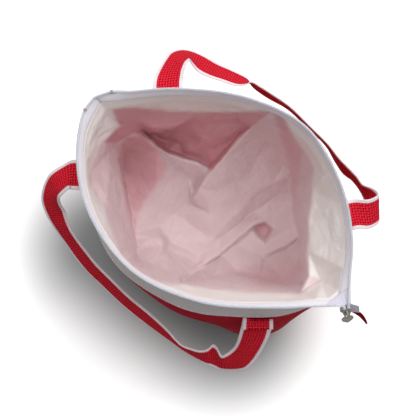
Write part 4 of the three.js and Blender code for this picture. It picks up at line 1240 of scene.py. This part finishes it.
def dress_metal():
    """The slider, its pull and the bottom stop keep their CAD shape, with rounded edges and a plated finish."""
    for name, metal in (("zip_bottom_stop", NICKEL), ("zip_slider", NICKEL), ("zip_pull", NICKEL_PULL)):
        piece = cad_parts[name]
        piece.data.materials.clear()
        piece.data.materials.append(metal)
        weld = piece.modifiers.new("weld", "WELD")
        weld.merge_threshold = WELD_REACH * MM
        bevel = piece.modifiers.new("rubbed edges", "BEVEL")
        bevel.width = 0.25 * MM
        bevel.segments = 2
        bevel.limit_method = "ANGLE"


# Seams.

SEAM_GAP = 0.01
# At which heights the stitched lines go round, and how far off the cloth or the webbing they lie.
BAND_STITCHES = BAND_SEAM + 2.2, BAND_SEAM + 6.2, BAG_HEIGHT - 3.5, TAPE_LOW + 1.5
BAND_STITCHES_OUT = 0.5
FOOT_STITCHES = 6.0
FOOT_STITCHES_OUT = 0.25
STRAP_STITCHES_OUT = WEB_THICKNESS / 2 + 0.15


def wall_line(side, height, out):
    """A line round one half of the wall that stops short of the side seams."""
    return wall_rows(side, [height], -out)[0][(ROUND >= SEAM_GAP) & (ROUND <= 1 - SEAM_GAP)]


def make_stitches():
    for side, word in SIDE_NAMES.items():
        lines = [wall_line(side, height, BAND_STITCHES_OUT) for height in BAND_STITCHES]
        along_lines(f"band_stitches_{word}", lines, WHITE_STITCHES, STITCH_PITCH, "band_white")
        runs = []
        for share in STRAP_PLACES[side]:
            middles, sides, ups = wall_run(side, share)[:, 2:58]
            proud = middles + ups * STRAP_STITCHES_OUT
            runs += [proud - sides * STITCH_SIDE, proud + sides * STITCH_SIDE]
        along_lines(f"strap_stitches_{word}", runs, RED_STITCHES, STITCH_PITCH, "webbing_red")
        foot = [wall_line(side, FOOT_STITCHES, FOOT_STITCHES_OUT)]
        along_lines(f"foot_stitches_{word}", foot, RED_STITCHES, STITCH_PITCH, "shell_red")


# The studio.

FLOOR_REACH = 9000.0
KEY_STRENGTH = 0.75
KEY_ANGLE = 24.0
KEY_FROM = (0.08, 0.5, 1.0)
SOFTBOX_FROM = Vector((-0.2, 0.28, 0.94)).normalized()
SOFTBOX_STRENGTH = 1.9
# From where to where the softbox fades in towards its middle, and the walls from front to back.
SOFTBOX_FADE = 0.55, 0.92
WALL_FADE = -0.5, 0.7
WALL_STRENGTHS = 0.04, 0.6


def make_floor_and_key():
    corners = [(x * FLOOR_REACH, y * FLOOR_REACH, 0.0) for x, y in ((-1, -1), (1, -1), (1, 1), (-1, 1))]
    paint = new_material("white studio floor", floor_paint)
    floor = finish_piece("studio_floor", corners, [(0, 1, 2, 3)], paint)
    floor.location.z = -0.2 * MM
    sun = bpy.data.lights.new("key_light", "SUN")
    sun.energy = KEY_STRENGTH
    sun.angle = math.radians(KEY_ANGLE)
    put("key_light", sun, KEY_FROM)


def light_studio():
    """A softbox overhead and dim walls, brighter behind. The camera, shine and clear pieces see plain white."""
    world = bpy.data.worlds.new("studio")
    bpy.context.scene.world = world
    world.use_nodes = True
    tree = world.node_tree
    tree.nodes.clear()
    ray = add(tree, "ShaderNodeLightPath").outputs
    seen = "MAXIMUM", ("MAXIMUM", ray["Is Camera Ray"], ray["Is Glossy Ray"]), ray["Is Transmission Ray"]
    sky = add(tree, "ShaderNodeTexCoord").outputs["Generated"]
    depth = add(tree, "ShaderNodeSeparateXYZ", {0: sky}).outputs["Y"]
    towards = add(tree, "ShaderNodeVectorMath", {0: sky, 1: SOFTBOX_FROM}, operation="DOT_PRODUCT")
    overhead = add(tree, "ShaderNodeMapRange", {
        "Value": towards, "From Min": SOFTBOX_FADE[0], "From Max": SOFTBOX_FADE[1]},
        interpolation_type="SMOOTHSTEP")
    behind = add(tree, "ShaderNodeMapRange", {
        "Value": depth, "From Min": WALL_FADE[0], "From Max": WALL_FADE[1],
        "To Min": WALL_STRENGTHS[0], "To Max": WALL_STRENGTHS[1]}, interpolation_type="SMOOTHSTEP")
    softbox = add(tree, "ShaderNodeMix", {0: overhead, 2: behind, 3: SOFTBOX_STRENGTH})
    strength = add(tree, "ShaderNodeMix", {0: seen, 2: softbox, 3: 1.0})
    light = add(tree, "ShaderNodeBackground", {"Color": (1, 1, 1, 1), "Strength": strength})
    add(tree, "ShaderNodeOutputWorld", {"Surface": light})
    bpy.context.scene.view_settings.view_transform = "Standard"


make_camera()
make_walls()
make_base()
make_liner()
make_tapes()
make_coils()
make_handles()
make_tail()
make_end_tab()
make_top_stops()
dress_metal()
make_stitches()
make_floor_and_key()
light_studio()
